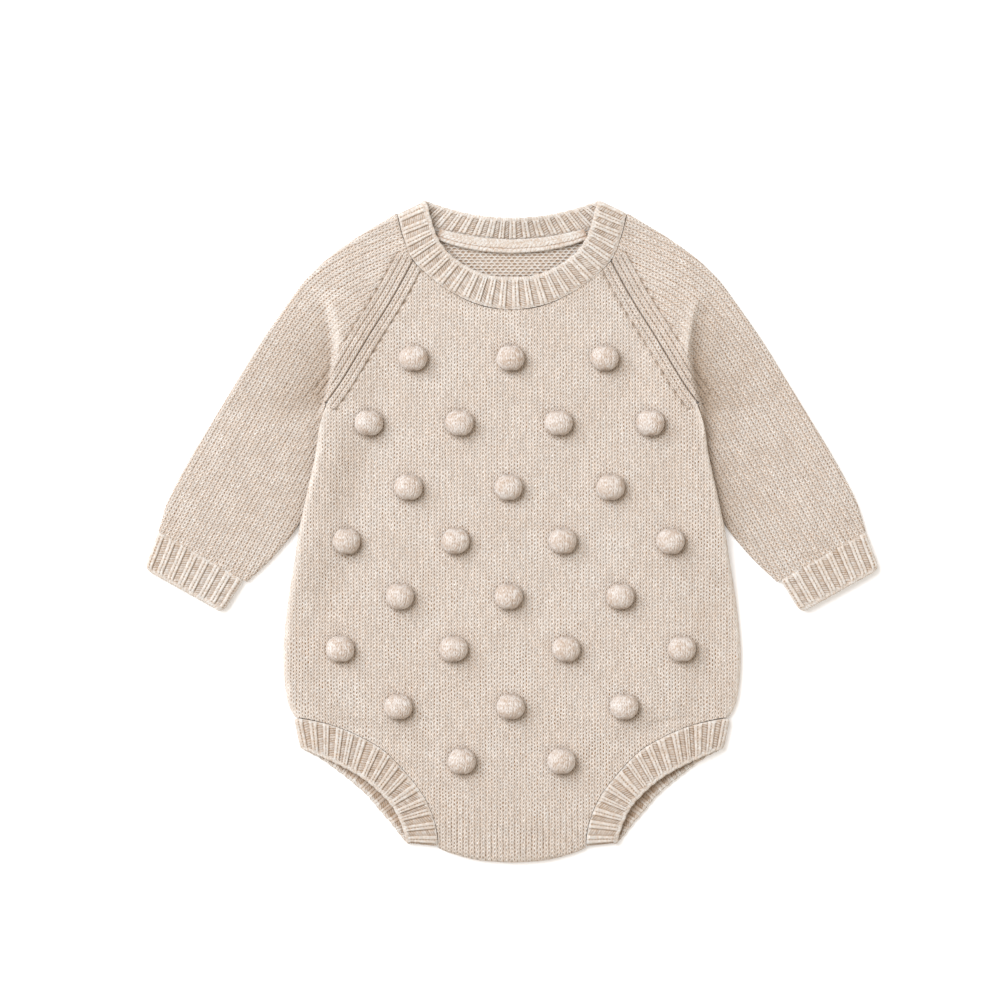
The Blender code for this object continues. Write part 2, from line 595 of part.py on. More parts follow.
# --- the garment -----------------------------------------------------------------------------
def main():
    for obj in list(bpy.data.objects):
        bpy.data.objects.remove(obj)
    root = bpy.data.objects.new("romper", None)
    bpy.context.scene.collection.objects.link(root)
    body = cloth_material("stockinette_body", YARN, 0.9)
    back = cloth_material("stockinette_back", YARN_SHADE, 0.9)
    arms = cloth_material("stockinette_sleeves", YARN, 0.9)
    rib = cloth_material("rib", YARN_LIGHT, 0.88)
    tape = cloth_material("neck_tape", YARN_LIGHT, 0.9)
    ball = cloth_material("bobble", YARN_LIGHT, 0.9)

    back_panel(back, root)
    front = front_panel(body, root)
    for side, sign in (("left", 1), ("right", -1)):
        sleeve(f"sleeve_{side}", sign, arms, root)
        cuff(f"cuff_{side}", sign, rib, root)
        rib_ring(f"leg_band_{side}", LEG_BAND, sign, RIB_WALL, 2, rib, root)
    rib_ring("neckband", full_ring(NECKBAND), 1, RIB_WALL, 2, rib, root)
    neck_tape(tape, root)
    bobbles(front, ball, root)
    root.location.y = CENTRING * MM


main()
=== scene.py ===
"""The romper's looks: knitted cloth pieces, with their stitches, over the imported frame.

Lengths are in millimetres until each mesh is made. X runs across the body, Y from the crotch to
the neck, Z up. Knit coordinates are (u, v): u counts wales, with the middle of a stitch at whole
numbers, and v counts courses.
"""

import math
from collections import namedtuple

import bpy
import numpy as np
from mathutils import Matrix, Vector
from mathutils.geometry import delaunay_2d_cdt


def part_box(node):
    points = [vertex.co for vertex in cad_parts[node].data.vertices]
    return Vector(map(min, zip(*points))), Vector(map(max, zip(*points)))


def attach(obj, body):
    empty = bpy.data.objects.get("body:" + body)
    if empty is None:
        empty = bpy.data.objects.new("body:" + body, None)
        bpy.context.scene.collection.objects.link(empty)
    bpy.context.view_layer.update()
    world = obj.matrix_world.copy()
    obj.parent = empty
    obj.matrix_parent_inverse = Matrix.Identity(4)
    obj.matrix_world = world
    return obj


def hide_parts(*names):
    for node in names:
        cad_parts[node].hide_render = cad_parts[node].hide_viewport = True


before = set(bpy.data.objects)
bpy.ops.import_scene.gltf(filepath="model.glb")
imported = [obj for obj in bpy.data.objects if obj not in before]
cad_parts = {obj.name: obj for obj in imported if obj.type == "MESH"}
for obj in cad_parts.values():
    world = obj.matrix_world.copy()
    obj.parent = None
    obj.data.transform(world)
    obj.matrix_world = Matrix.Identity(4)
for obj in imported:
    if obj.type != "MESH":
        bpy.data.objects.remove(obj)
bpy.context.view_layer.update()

MM = 0.001
CENTRING = 0.4

# --- the cloth ----------------------------------------------------------------------------------
WALL = 2.2
SLEEVE_WALL = 2.0
RIB_WALL = 2.6
SEAM_GAP = 0.15  # the visible cloth comes this near to the seam line
LAYER_GAP = 0.8
LOFT, LOFT_REACH = 1.2, 45.0
FOLD_FLAT, FOLD_REACH, FOLD_DROP = 9.0, 36.0, 4.5
BACK_INSET = 2.9

WALE = 3.44  # one stitch across
COURSE = 2.28  # one stitch along
RIB = 7.1  # one knit and one purl wale of the neckband and cuffs
LEG_RIB = 7.1
STEP = COURSE / 2
BODY_BAND, ARM_BAND = 2 * WALE, 3 * WALE  # fashioned wales beside the raglan seams

# --- the garment's lines, right-hand half -------------------------------------------------------
Point = namedtuple("Point", "x y")
Fold = namedtuple("Fold", "x y rise")
Section = namedtuple("Section", "seam_x seam_y seam_z free_x free_y free_z")

CROTCH = [Point(0, -199.2), Point(20.7, -197.6), Point(36.9, -193.4), Point(44.4, -190.2)]
FRONT_LEG = [
    Point(44.4, -190.2), Point(44.6, -183.0), Point(47.2, -172.0), Point(53.3, -158.6),
    Point(63.0, -146.0), Point(76.4, -132.2), Point(91.0, -123.4), Point(107.0, -116.8),
    Point(123.5, -112.6), Point(130.0, -112.0),
]
BACK_LEG = [
    Point(44.4, -190.2), Point(49.5, -180.0), Point(56.5, -166.5), Point(64.2, -156.6),
    Point(72.3, -146.0), Point(82.4, -136.5), Point(94.5, -127.3), Point(107.0, -118.8),
    Point(122.0, -114.0), Point(130.0, -112.0),
]
SIDE = [
    Point(130.0, -112.0), Point(133.0, -107.0), Point(135.1, -101.0), Point(136.8, -89.0),
    Point(137.4, -77.0), Point(137.0, -65.0), Point(134.4, -41.0), Point(130.6, -18.0),
    Point(127.8, 0.0), Point(123.4, 21.0), Point(117.9, 46.0), Point(115.6, 62.0),
    Point(111.1, 77.0),
]
FRONT_RAGLAN = [
    Point(111.1, 77.0), Point(101.2, 91.2), Point(86.4, 116.0), Point(71.5, 140.0),
    Point(59.4, 162.0),
]
BACK_RAGLAN = [
    Point(111.1, 77.0), Point(97.0, 102.0), Point(83.0, 128.0), Point(69.0, 155.0),
    Point(56.3, 182.8),
]
FRONT_NECK = [
    Point(0, 132.8), Point(13.5, 134.0), Point(27.3, 138.6), Point(41.1, 146.4),
    Point(51.9, 154.8), Point(59.4, 162.0),
]
BACK_NECK = [Point(0, 174.6), Point(20, 175.8), Point(40, 179.4), Point(56.3, 182.8)]
SHOULDER_NECK_FRONT = [Point(69.2, 190.7), Point(65.8, 177.5), Point(62.0, 168.0), Point(59.4, 162.0)]
SHOULDER_NECK_BACK = [Point(69.2, 190.7), Point(62.5, 186.0), Point(56.3, 182.8)]
SLEEVE_OUTER = [
    Point(212.4, -0.2), Point(206.4, 18.6), Point(193.8, 42.6), Point(179.4, 66.6),
    Point(164.7, 90.6), Point(150.0, 114.6), Point(133.2, 138.6), Point(124.2, 150.6),
    Point(111.9, 162.6), Point(95.7, 174.6), Point(75.9, 186.8), Point(69.2, 190.5),
]
SLEEVE_INNER = [
    Point(159.0, -30.6), Point(145.0, -17.4), Point(134.5, -5.4), Point(126.0, 6.0),
    Point(119.6, 18.0), Point(116.2, 33.0), Point(114.8, 48.0), Point(114.6, 60.0),
    Point(112.7, 70.8), Point(111.3, 77.2),
]
SLEEVE_NECK = Point(69.3, 190.6)
CUFF_OUTER = [Point(212.43, -0.22), Point(216.2, -11.0), Point(219.6, -20.4), Point(218.2, -24.2)]
CUFF_INNER = [Point(160.99, -29.53), Point(166.6, -38.4), Point(171.4, -46.0), Point(175.0, -48.4)]

ARM_FOLD = [
    Fold(121.0, 146.4, 0.0), Fold(111.0, 138.0, 1.2), Fold(106.4, 119.4, 3.2),
    Fold(105.3, 106.2, 4.2), Fold(107.1, 91.2, 4.7), Fold(111.1, 77.0, 4.9),
    Fold(115.6, 62.0, 4.9), Fold(117.9, 46.0, 4.9), Fold(123.4, 21.0, 4.9),
    Fold(127.6, 1.0, 4.9), Fold(130.6, -18.0, 3.2), Fold(132.8, -30.0, 1.6),
    Fold(134.4, -42.0, 0.5), Fold(136.0, -54.0, 0.0),
]

NECKBAND = [
    Section(0.0, 132.8, 4.5, 0.0, 152.4, 5.2),
    Section(20.0, 135.9, 4.5, 14.3, 153.8, 5.2),
    Section(37.5, 144.0, 4.6, 26.9, 158.9, 6.0),
    Section(50.6, 153.6, 4.8, 37.3, 166.2, 7.0),
    Section(60.2, 163.8, 5.2, 43.8, 174.6, 7.6),
    Section(65.6, 177.5, 5.4, 47.7, 184.6, 7.6),
    Section(67.8, 186.4, 5.0, 50.2, 194.2, 6.8),
    Section(68.2, 189.6, 3.2, 51.5, 197.6, 4.0),
    Section(63.4, 186.4, 1.4, 47.5, 196.8, 1.5),
    Section(50.0, 182.0, 1.4, 38.5, 193.8, 1.6),
    Section(30.0, 177.8, 1.4, 23.0, 190.0, 3.8),
    Section(12.0, 175.2, 1.4, 9.2, 188.2, 6.2),
    Section(0.0, 174.6, 1.4, 0.0, 187.9, 6.6),
]
LEG_BAND = [
    Section(129.8, -112.7, 3.0, 126.0, -130.6, 3.4),
    Section(123.5, -112.9, 4.4, 120.5, -132.8, 5.2),
    Section(107.0, -116.8, 4.5, 108.3, -138.2, 5.8),
    Section(91.0, -123.4, 4.5, 96.8, -144.0, 6.2),
    Section(76.4, -132.2, 4.5, 86.2, -150.9, 6.3),
    Section(63.0, -146.0, 4.5, 76.6, -159.8, 6.2),
    Section(53.3, -158.6, 4.5, 70.8, -167.0, 5.9),
    Section(47.2, -172.0, 4.5, 66.6, -175.8, 5.5),
    Section(44.8, -182.6, 4.4, 64.2, -183.2, 4.9),
    Section(44.9, -188.6, 3.0, 63.6, -186.6, 3.2),
    Section(49.5, -180.0, 1.4, 66.9, -183.2, 1.4),
    Section(56.5, -166.5, 1.4, 72.6, -175.8, 1.4),
    Section(64.2, -156.6, 1.4, 79.2, -168.3, 1.4),
    Section(72.3, -146.0, 1.4, 86.6, -159.4, 1.4),
    Section(82.4, -136.5, 1.4, 95.0, -151.8, 1.4),
    Section(94.5, -127.3, 1.4, 104.6, -144.2, 1.4),
    Section(107.0, -118.8, 1.4, 115.0, -136.8, 1.4),
    Section(122.0, -114.3, 1.4, 122.8, -132.6, 1.5),
]
NECK_TAPE = [
    Section(0.0, 166.5, 0, 0.0, 175.0, 0),
    Section(18.0, 167.8, 0, 16.5, 176.0, 0),
    Section(34.0, 171.0, 0, 31.0, 178.4, 0),
    Section(46.0, 175.0, 0, 43.0, 181.2, 0),
]


# --- curves -------------------------------------------------------------------------------------
def smooth(t):
    t = np.clip(t, 0.0, 1.0)
    return t * t * (3 - 2 * t)


def spline(points, closed, steps):
    p = np.array([tuple(q) for q in points], float)
    if closed:
        padded = np.vstack([p[-1], p, p[0], p[1]])
    else:
        padded = np.vstack([2 * p[0] - p[1], p, 2 * p[-1] - p[-2]])
    out = []
    for a, b, c, d in zip(padded, padded[1:], padded[2:], padded[3:]):
        for t in np.arange(steps) / steps:
            out.append(
                b + 0.5 * t * (c - a + t * (2 * a - 5 * b + 4 * c - d + t * (3 * b - a - 3 * c + d)))
            )
    return np.array(out + [padded[-2]])


def lengths(p):
    return np.concatenate([[0], np.cumsum(np.linalg.norm(np.diff(p[:, :2], axis=0), axis=1))])


def along(p, s):
    """Points of the polyline at these lengths along it."""
    have = lengths(p)
    return np.stack([np.interp(s, have, p[:, k]) for k in range(p.shape[1])], -1)


def resample(p, step):
    total = lengths(p)[-1]
    return along(p, np.linspace(0, total, max(2, int(round(total / step)) + 1)))


def normals(p):
    """Unit vectors to the left of the line."""
    t = np.gradient(p, axis=0)
    t /= np.linalg.norm(t, axis=1)[:, None]
    return np.stack([-t[:, 1], t[:, 0]], -1)


def near(q, line, chunk=4000):
    """Each point's distance to the polyline, and how far along it the nearest place is."""
    a, ab = line[:-1], np.diff(line, axis=0)
    length = np.linalg.norm(ab, axis=1)
    start = lengths(line)[:-1]
    d, s = np.empty(len(q)), np.empty(len(q))
    for k in range(0, len(q), chunk):
        p = q[k : k + chunk, None]
        t = np.clip(((p - a) * ab).sum(-1) / length**2, 0, 1)
        gap = p - (a + t[..., None] * ab)
        e = (gap * gap).sum(-1)
        i = e.argmin(1)
        r = np.arange(len(i))
        d[k : k + chunk] = np.sqrt(e[r, i])
        s[k : k + chunk] = start[i] + t[r, i] * length[i]
    return d, s


def beyond(q, line):
    """How far past the ends of this nearly straight line each point lies."""
    first, last = line[0] - line[1], line[-1] - line[-2]
    first, last = first / np.linalg.norm(first), last / np.linalg.norm(last)
    return np.maximum((q - line[0]) @ first, (q - line[-1]) @ last)


def inside(q, loop, chunk=4000):
    a, b = loop, np.roll(loop, -1, 0)
    found = np.empty(len(q), bool)
    for k in range(0, len(q), chunk):
        x, y = q[k : k + chunk, 0, None], q[k : k + chunk, 1, None]
        crosses = (a[:, 1] > y) != (b[:, 1] > y)
        at = a[:, 0] + (y - a[:, 1]) * (b[:, 0] - a[:, 0]) / (b[:, 1] - a[:, 1] + 1e-12)
        found[k : k + chunk] = (crosses & (x < at)).sum(1) % 2 == 1
    return found


def waves(x, y, seed, size, count=7):
    """Soft irregular swells, about -1 to 1, with features of about this size."""
    rng = np.random.default_rng(seed)
    total = np.zeros_like(x)
    for _ in range(count):
        a, k, p = rng.uniform(0, 2 * math.pi), rng.uniform(0.6, 1.5), rng.uniform(0, 2 * math.pi)
        total = total + np.sin(2 * math.pi * k / size * (x * math.cos(a) + y * math.sin(a)) + p)
    return total / math.sqrt(count) / 1.3


BOBBLES = []
for number in range(1, 27):
    low, high = (np.array(c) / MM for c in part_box(f"bobble_{number:02d}"))
    BOBBLES.append(((low[0] + high[0]) / 2, (low[1] + high[1]) / 2 - CENTRING))

# --- heights ------------------------------------------------------------------------------------
FOLD_LINE = spline(ARM_FOLD, False, 6)
half_outline = np.vstack([spline(FRONT_LEG, False, 4), spline(SIDE, False, 4), spline(FRONT_RAGLAN, False, 4)])


def fold_rise(x, y, drop=FOLD_DROP):
    q = np.stack([np.abs(x), y], -1)
    a, b = FOLD_LINE[:-1, :2], FOLD_LINE[1:, :2]
    out = np.empty(len(q))
    ab = b - a
    for k in range(0, len(q), 8000):
        p = q[k : k + 8000, None]
        t = np.clip(((p - a) * ab).sum(-1) / (ab * ab).sum(-1), 0, 1)
        gap = p - (a + t[..., None] * ab)
        far = np.linalg.norm(gap, axis=-1)
        i = far.argmin(-1)
        r = np.arange(len(i))
        d = -far[r, i] * np.sign((gap[..., 0] * ab[:, 1] - gap[..., 1] * ab[:, 0])[r, i])
        rise = FOLD_LINE[i, 2] + t[r, i] * (FOLD_LINE[i + 1, 2] - FOLD_LINE[i, 2])
        inward = 1 - smooth((-d - FOLD_FLAT) / (FOLD_REACH - FOLD_FLAT))
        outward = 1 - smooth(d / drop)
        out[k : k + 8000] = rise * np.where(d < 0, inward, outward)
    return out


def past_fold(x, y):
    """Distance outward from the ridge over the arm, and how high it stands there, 0 to 1."""
    q = np.stack([np.abs(x), y], -1)
    d, s = near(q, FOLD_LINE[:, :2])
    rise = np.interp(s, lengths(FOLD_LINE[:, :2]), FOLD_LINE[:, 2]) / 4.9
    order = np.argsort(FOLD_LINE[:, 1])
    outward = np.abs(x) > np.interp(y, FOLD_LINE[order, 1], FOLD_LINE[order, 0])
    return np.where(outward, d, -d), rise


def side_distance(x, y):
    order = np.argsort(half_outline[:, 1])
    return np.interp(y, half_outline[order, 1], half_outline[order, 0]) - np.abs(x)


NECK_SEAM = spline([q[:3] for q in NECKBAND[:9]], False, 6)


def to_neckband(level, x, y):
    """The cloth rises, or falls, to meet the neckband's face along their seam."""
    d, s = near(np.stack([np.abs(x), y], -1), NECK_SEAM[:, :2])
    band = np.interp(s, lengths(NECK_SEAM[:, :2]), NECK_SEAM[:, 2]) + 0.95
    return level + (band - level) * np.exp(-((d / 5.5) ** 2))


def front_top(x, y):
    loft = LOFT * smooth(side_distance(x, y) / LOFT_REACH)
    # the cloth sinks a little and unevenly between the bobbles
    from_side = side_distance(x, y)
    sink = 0.45 * (1 + waves(x, y, 3, 62.0)) * smooth(from_side / 25.0)
    # and lies in a hollow behind the roll that the arms push up
    rolled = 0.45 + 0.75 * smooth((y + 70.0) / 50.0) * (1 - smooth((y - 60.0) / 30.0))
    sink = sink + rolled * np.exp(-(((from_side - 24.0) / 9.0) ** 2)) * smooth((y + 175.0) / 60.0)
    for cx, cy in BOBBLES:
        sink = sink * smooth((np.hypot(x - cx, y - cy) - 8.5) / 14.0)
    return to_neckband(2 * WALL + LAYER_GAP + loft + fold_rise(x, y) - sink, x, y)


def back_lift(x, y):
    return fold_rise(x, y) * (1 - smooth((y - 62.0) / 18.0))


# --- stitches -----------------------------------------------------------------------------------
def stocking(u, v, parting):
    """Height of stockinette's face in mm, at most 0: hollows between and within the wales."""
    c = np.cos(2 * math.pi * u)
    holes = 0.5 + 0.5 * c * np.cos(2 * math.pi * v)
    return -c * c * (0.10 + 0.42 * holes) - parting * np.maximum(-c, 0) ** 2


def cords(u, v):
    """The same for the fashioned wales: plump, and well parted."""
    c = np.cos(2 * math.pi * u)
    parting, middle = np.maximum(-c, 0) ** 2, np.maximum(c, 0) ** 2
    return -0.85 * parting - 0.42 * middle * (0.55 + 0.45 * np.cos(2 * math.pi * v))


PURL_ROW = 1.8  # one row of the wrong side's arcs


def purl(u, v):
    """Height of stockinette's wrong side in mm: waving cords, row against row."""
    row = np.floor(v)
    wave = 0.20 * np.cos(2 * math.pi * u) * np.cos(math.pi * row)
    return -0.6 + 0.6 * np.exp(-(((v - row - 0.5 - wave) / 0.30) ** 2))


# --- meshes -------------------------------------------------------------------------------------
class Piece:
    """Collects vertices, and triangles with their knit and bake coordinates."""

    def __init__(self, name):
        self.name = name
        self.points, self.dark = [], []
        self.faces, self.knit, self.bake, self.slots = [], [], [], []
        self.count = 0

    def put(self, points, dark=None):
        start = self.count
        self.points.append(points)
        self.dark.append(np.zeros(len(points)) if dark is None else dark)
        self.count += len(points)
        return start

    def tris(self, faces, knit, bake, slot=0):
        """faces (n, 3), knit and bake (n, 3, 2)."""
        self.faces.append(faces)
        self.knit.append(knit)
        self.bake.append(bake)
        self.slots.append(np.full(len(faces), slot))

    def grid(self, index, knit, rect, slot=0, rows=1, flip=False):
        """Triangles over a grid of vertex numbers (n, m), with knit coordinates (n, m, 2) and a
        place on the bake map, cut into this many lengths laid one above the other."""
        n, m = index.shape
        i, j = np.meshgrid(np.arange(n - 1), np.arange(m - 1), indexing="ij")
        i, j = i.ravel(), j.ravel()
        corner = lambda di, dj: (i + di, j + dj)
        quads = [corner(0, 0), corner(1, 0), corner(1, 1), corner(0, 1)]
        x0, y0, x1, y1 = rect
        per = -(-(n - 1) // rows)
        row = i // per
        tall = (y1 - y0) / rows

        def spot(c):
            a = (c[0] - row * per) / per
            b = c[1] / (m - 1)
            return np.stack([x0 + (x1 - x0) * a * 0.998, y0 + tall * (row + 0.02 + 0.96 * b)], -1)

        for tri in ((0, 1, 2), (0, 2, 3)):
            tri = tri[::-1] if flip else tri
            f = np.stack([index[quads[k]] for k in tri], -1)
            self.tris(f, np.stack([knit[quads[k]] for k in tri], 1), np.stack([spot(quads[k]) for k in tri], 1), slot)

    def make(self, materials, mirror=False):
        points = np.concatenate(self.points)
        faces = np.concatenate(self.faces)
        knit, bake = np.concatenate(self.knit), np.concatenate(self.bake)
        used = np.zeros(len(points), bool)
        used[faces.ravel()] = True
        order = np.cumsum(used) - 1
        points, dark = points[used], np.concatenate(self.dark)[used]
        faces = order[faces]
        size = np.linalg.det(points[faces]).sum()
        turned = size < 0
        if mirror:
            points = points * (-1, 1, 1)
        if turned != mirror:
            faces, knit, bake = faces[:, ::-1], knit[:, ::-1], bake[:, ::-1]
        mesh = bpy.data.meshes.new(self.name)
        points = (points + (0, CENTRING, 0)) * MM
        mesh.vertices.add(len(points))
        mesh.vertices.foreach_set("co", points.astype(np.float32).ravel())
        mesh.loops.add(3 * len(faces))
        mesh.loops.foreach_set("vertex_index", faces.astype(np.int32).ravel())
        mesh.polygons.add(len(faces))
        mesh.polygons.foreach_set("loop_start", np.arange(0, 3 * len(faces), 3, dtype=np.int32))
        mesh.polygons.foreach_set("material_index", np.concatenate(self.slots).astype(np.int32))
        mesh.update(calc_edges=True)
        for name, uv in (("Knit", knit), ("OFBake", np.clip(bake, 0, 1))):
            layer = mesh.uv_layers.new(name=name)
            layer.data.foreach_set("uv", uv.astype(np.float32).ravel())
        layer = mesh.attributes.new("dark", "FLOAT", "POINT")
        layer.data.foreach_set("value", dark.astype(np.float32))
        mesh.shade_smooth()
        mesh.set_sharp_from_angle(angle=math.radians(66))
        for material in materials:
            mesh.materials.append(material)
        obj = bpy.data.objects.new(self.name, mesh)
        bpy.context.scene.collection.objects.link(obj)
        return obj


# --- flat panels: a lattice of stitches, cut to an outline --------------------------------------
Run = namedtuple("Run", "name line step offsets rank")


class Flat:
    """A skin in plan: a lattice inside an outline, with loops that follow the outline's runs."""

    def __init__(self, runs, lattice, stitch, allow=None, extra=None):
        self.runs = runs
        lines = [resample(r.line, r.step) for r in runs]
        self.outline = np.concatenate([p[:-1] for p in lines])
        self.run_of = np.concatenate([np.full(len(p) - 1, k) for k, p in enumerate(lines)])
        n = len(self.outline)
        loop = np.concatenate([resample(r.line, 3.0)[:-1] for r in runs])

        def clear_of(q, run, wide):
            # a raglan's band ends square, level with the ends of its line
            if run.name.startswith("raglan"):
                wide = np.where(beyond(q, run.line) > 0.45, 0.55, wide)
            return near(q, run.line)[0] > wide

        strips = []
        for k, (r, p) in enumerate(zip(runs, lines)):
            side = normals(p)
            own = []
            for d in r.offsets:
                own.append(p + d * side)
            if not own:
                continue
            own = np.concatenate(own)
            keep = inside(own, self.outline)
            for m, other in enumerate(runs):
                if m == k:
                    continue
                clear = (other.offsets[-1] if other.rank < r.rank and other.offsets else 0.0) + 0.55
                keep &= clear_of(own, other, clear)
            # a loop that has come back over itself in a hollow corner is left out
            keep &= near(own, r.line)[0] > np.repeat(r.offsets, len(p)) - 0.12
            strips.append(own[keep])
        if extra is not None:
            strips.append(extra)
        strip = np.concatenate(strips)

        flat = lattice.reshape(-1, 2)
        keep = inside(flat, loop)
        for r in runs:
            reach = (r.offsets[-1] if r.offsets else 0.0) + 0.5
            near_it = keep.copy()
            near_it[keep] = clear_of(flat[keep], r, reach)
            keep = near_it
        if allow is not None:
            keep &= allow(flat)
        keep = keep.reshape(lattice.shape[:2])
        cell = keep[:-1, :-1] & keep[1:, :-1] & keep[1:, 1:] & keep[:-1, 1:]
        in_cell = np.zeros_like(keep)
        for di in (0, 1):
            for dj in (0, 1):
                in_cell[di : di + cell.shape[0], dj : dj + cell.shape[1]] |= cell
        loose = flat[(keep & ~in_cell).ravel()]
        grid_id = -np.ones(keep.shape, int)
        grid_id[in_cell] = np.arange(in_cell.sum())

        # The boundary of the lattice, as edges
        padded = np.pad(cell, 1)
        east = padded[1:-1, 1:] != padded[1:-1, :-1]  # edge i to i+1 at row j
        north = padded[1:, 1:-1] != padded[:-1, 1:-1]  # edge j to j+1 at column i
        ei, ej = np.nonzero(east)
        ni, nj = np.nonzero(north)
        edges = np.concatenate([
            np.stack([grid_id[ei, ej], grid_id[ei + 1, ej]], -1),
            np.stack([grid_id[ni, nj], grid_id[ni, nj + 1]], -1),
        ])
        rim = np.unique(edges)
        grid_xy = lattice[in_cell]

        front = np.concatenate([self.outline, strip, loose])
        base = len(front)
        cdt_points = np.concatenate([front, grid_xy[rim]])
        where = np.concatenate([np.arange(base), base + rim])
        back = {g: base + k for k, g in enumerate(rim)}
        constraints = [(i, (i + 1) % n) for i in range(n)] + [(back[a], back[b]) for a, b in edges]
        made, _, tris, ids, _, _ = delaunay_2d_cdt(
            [Vector(p) for p in cdt_points], constraints, [], 0, 1e-6, True
        )
        to_all = np.array([where[i[0]] if i else -1 for i in ids])
        tris = to_all[np.array(tris)]
        tris = tris[(tris >= 0).all(1)]
        wall = {frozenset((where[a], where[b])) for a, b in constraints}
        by_edge = {}
        for t, f in enumerate(tris):
            for a, b in ((f[0], f[1]), (f[1], f[2]), (f[2], f[0])):
                by_edge.setdefault((int(a), int(b)), t)
        seeds = [by_edge[(i, (i + 1) % n)] for i in range(n) if (i, (i + 1) % n) in by_edge]
        reached, stack = set(seeds), list(seeds)
        while stack:
            f = tris[stack.pop()]
            for a, b in ((f[0], f[1]), (f[1], f[2]), (f[2], f[0])):
                a, b = int(a), int(b)
                if frozenset((a, b)) in wall:
                    continue
                t = by_edge.get((b, a))
                if t is not None and t not in reached:
                    reached.add(t)
                    stack.append(t)
        strip_tris = tris[sorted(reached)]

        i, j = np.nonzero(cell)
        a, b = base + grid_id[i, j], base + grid_id[i + 1, j]
        c, d = base + grid_id[i + 1, j + 1], base + grid_id[i, j + 1]
        rising = (i % 4) < 2
        one = np.where(rising[:, None], np.stack([a, b, c], -1), np.stack([a, b, d], -1))
        two = np.where(rising[:, None], np.stack([a, c, d], -1), np.stack([b, c, d], -1))
        self.xy = np.concatenate([front, grid_xy])
        steps = np.array([lattice[1, 0] - lattice[0, 0], lattice[0, 1] - lattice[0, 0]])
        if np.linalg.det(steps) < 0:
            one, two = one[:, ::-1], two[:, ::-1]
        self.tris = np.concatenate([strip_tris, one, two])
        self.n = n
        self.stitch = np.full((len(self.xy), 2), np.nan)
        self.stitch[base:] = stitch[in_cell]
        self.near = {r.name: near(self.xy, r.line) for r in runs}
        self.beyond = {r.name: beyond(self.xy, r.line) for r in runs if r.name.startswith("raglan")}


def lay(piece, flat, z, knit, dark, rect, box, slot=0, turn=False):
    """Adds a skin. z and dark are per vertex; knit is per vertex, or a function of the faces."""
    start = piece.put(np.column_stack([flat.xy, z]), dark)
    x0, y0, x1, y1 = rect
    low, high = box
    bake = (flat.xy - low) / (high - low) * (x1 - x0, y1 - y0) + (x0, y0)
    corner_knit = knit(flat.tris) if callable(knit) else knit[flat.tris]
    faces, bake = flat.tris, bake[flat.tris]
    if turn:
        faces, corner_knit, bake = faces[:, ::-1], corner_knit[:, ::-1], bake[:, ::-1]
    piece.tris(faces + start, corner_knit, bake, slot)
    return start


def rim(piece, first, last, loops, knit, rect, rows, slot=0, closed=True, flip=False):
    """Joins vertex numbers first to last through these loops of points."""
    index = [first]
    for loop in loops:
        index.append(piece.put(loop) + np.arange(len(loop)))
    index.append(last)
    index = np.stack(index, 1)
    if closed:
        index = np.concatenate([index, index[:1]])
        knit = np.concatenate([knit, knit[:1] + (0, 0)])
    coords = np.repeat(knit[:, None], index.shape[1], 1)
    piece.grid(index, coords, rect, slot, rows, flip)
    return index


def centred_lattice(x, y):
    """A lattice of quarter wales by half courses, its columns counted from a wale's middle."""
    i0, i1 = math.floor(x[0] / (WALE / 4) / 4) * 4, math.ceil(x[1] / (WALE / 4))
    j0, j1 = math.floor(y[0] / STEP / 2) * 2, math.ceil(y[1] / STEP)
    i, j = np.meshgrid(np.arange(i0, i1 + 1), np.arange(j0, j1 + 1), indexing="ij")
    return np.stack([i * WALE / 4, j * STEP], -1), np.stack([i / 4, j / 2], -1)


def coarse(low, high, step):
    i, j = np.meshgrid(np.arange(low[0], high[0], step), np.arange(low[1], high[1], step), indexing="ij")
    return np.stack([i + 0.5 * step * (np.round((j - low[1]) / step) % 2), j], -1)


SEAM_OFFSETS = [0.55, 1.1]
SIDE_OFFSETS = [0.1, 0.35, 0.8, 1.5, 2.5, 3.7]
BODY_OFFSETS = [0.3] + list(np.arange(1, 12) * WALE / 4)
ARM_OFFSETS = [0.3] + list(np.arange(1, 16) * WALE / 4)


def uneven_rows(x, y, seed):
    """Knit coordinates of a panel whose rows wander a little."""
    return np.column_stack([x / WALE + 0.04 * waves(x, y, seed, 24.0), y / COURSE + 0.30 * waves(x, y, seed + 1, 17.0)])


def decrease_marks(d, s, band, phase=0.0):
    """Where the fashioning stitches lie along a raglan: small slanting hollows at the band's edge."""
    pitch = 3 * COURSE
    a = (s + phase) / pitch
    number = np.round(a)
    ds = (a - number + 0.06 * np.sin(number * 2.4)) * pitch
    off = d - band + 0.38 * ds - 0.5
    return np.exp(-((off / 0.80) ** 2)) * np.exp(-((ds / 1.9) ** 2)) * (0.85 + 0.15 * np.sin(number * 5.1))


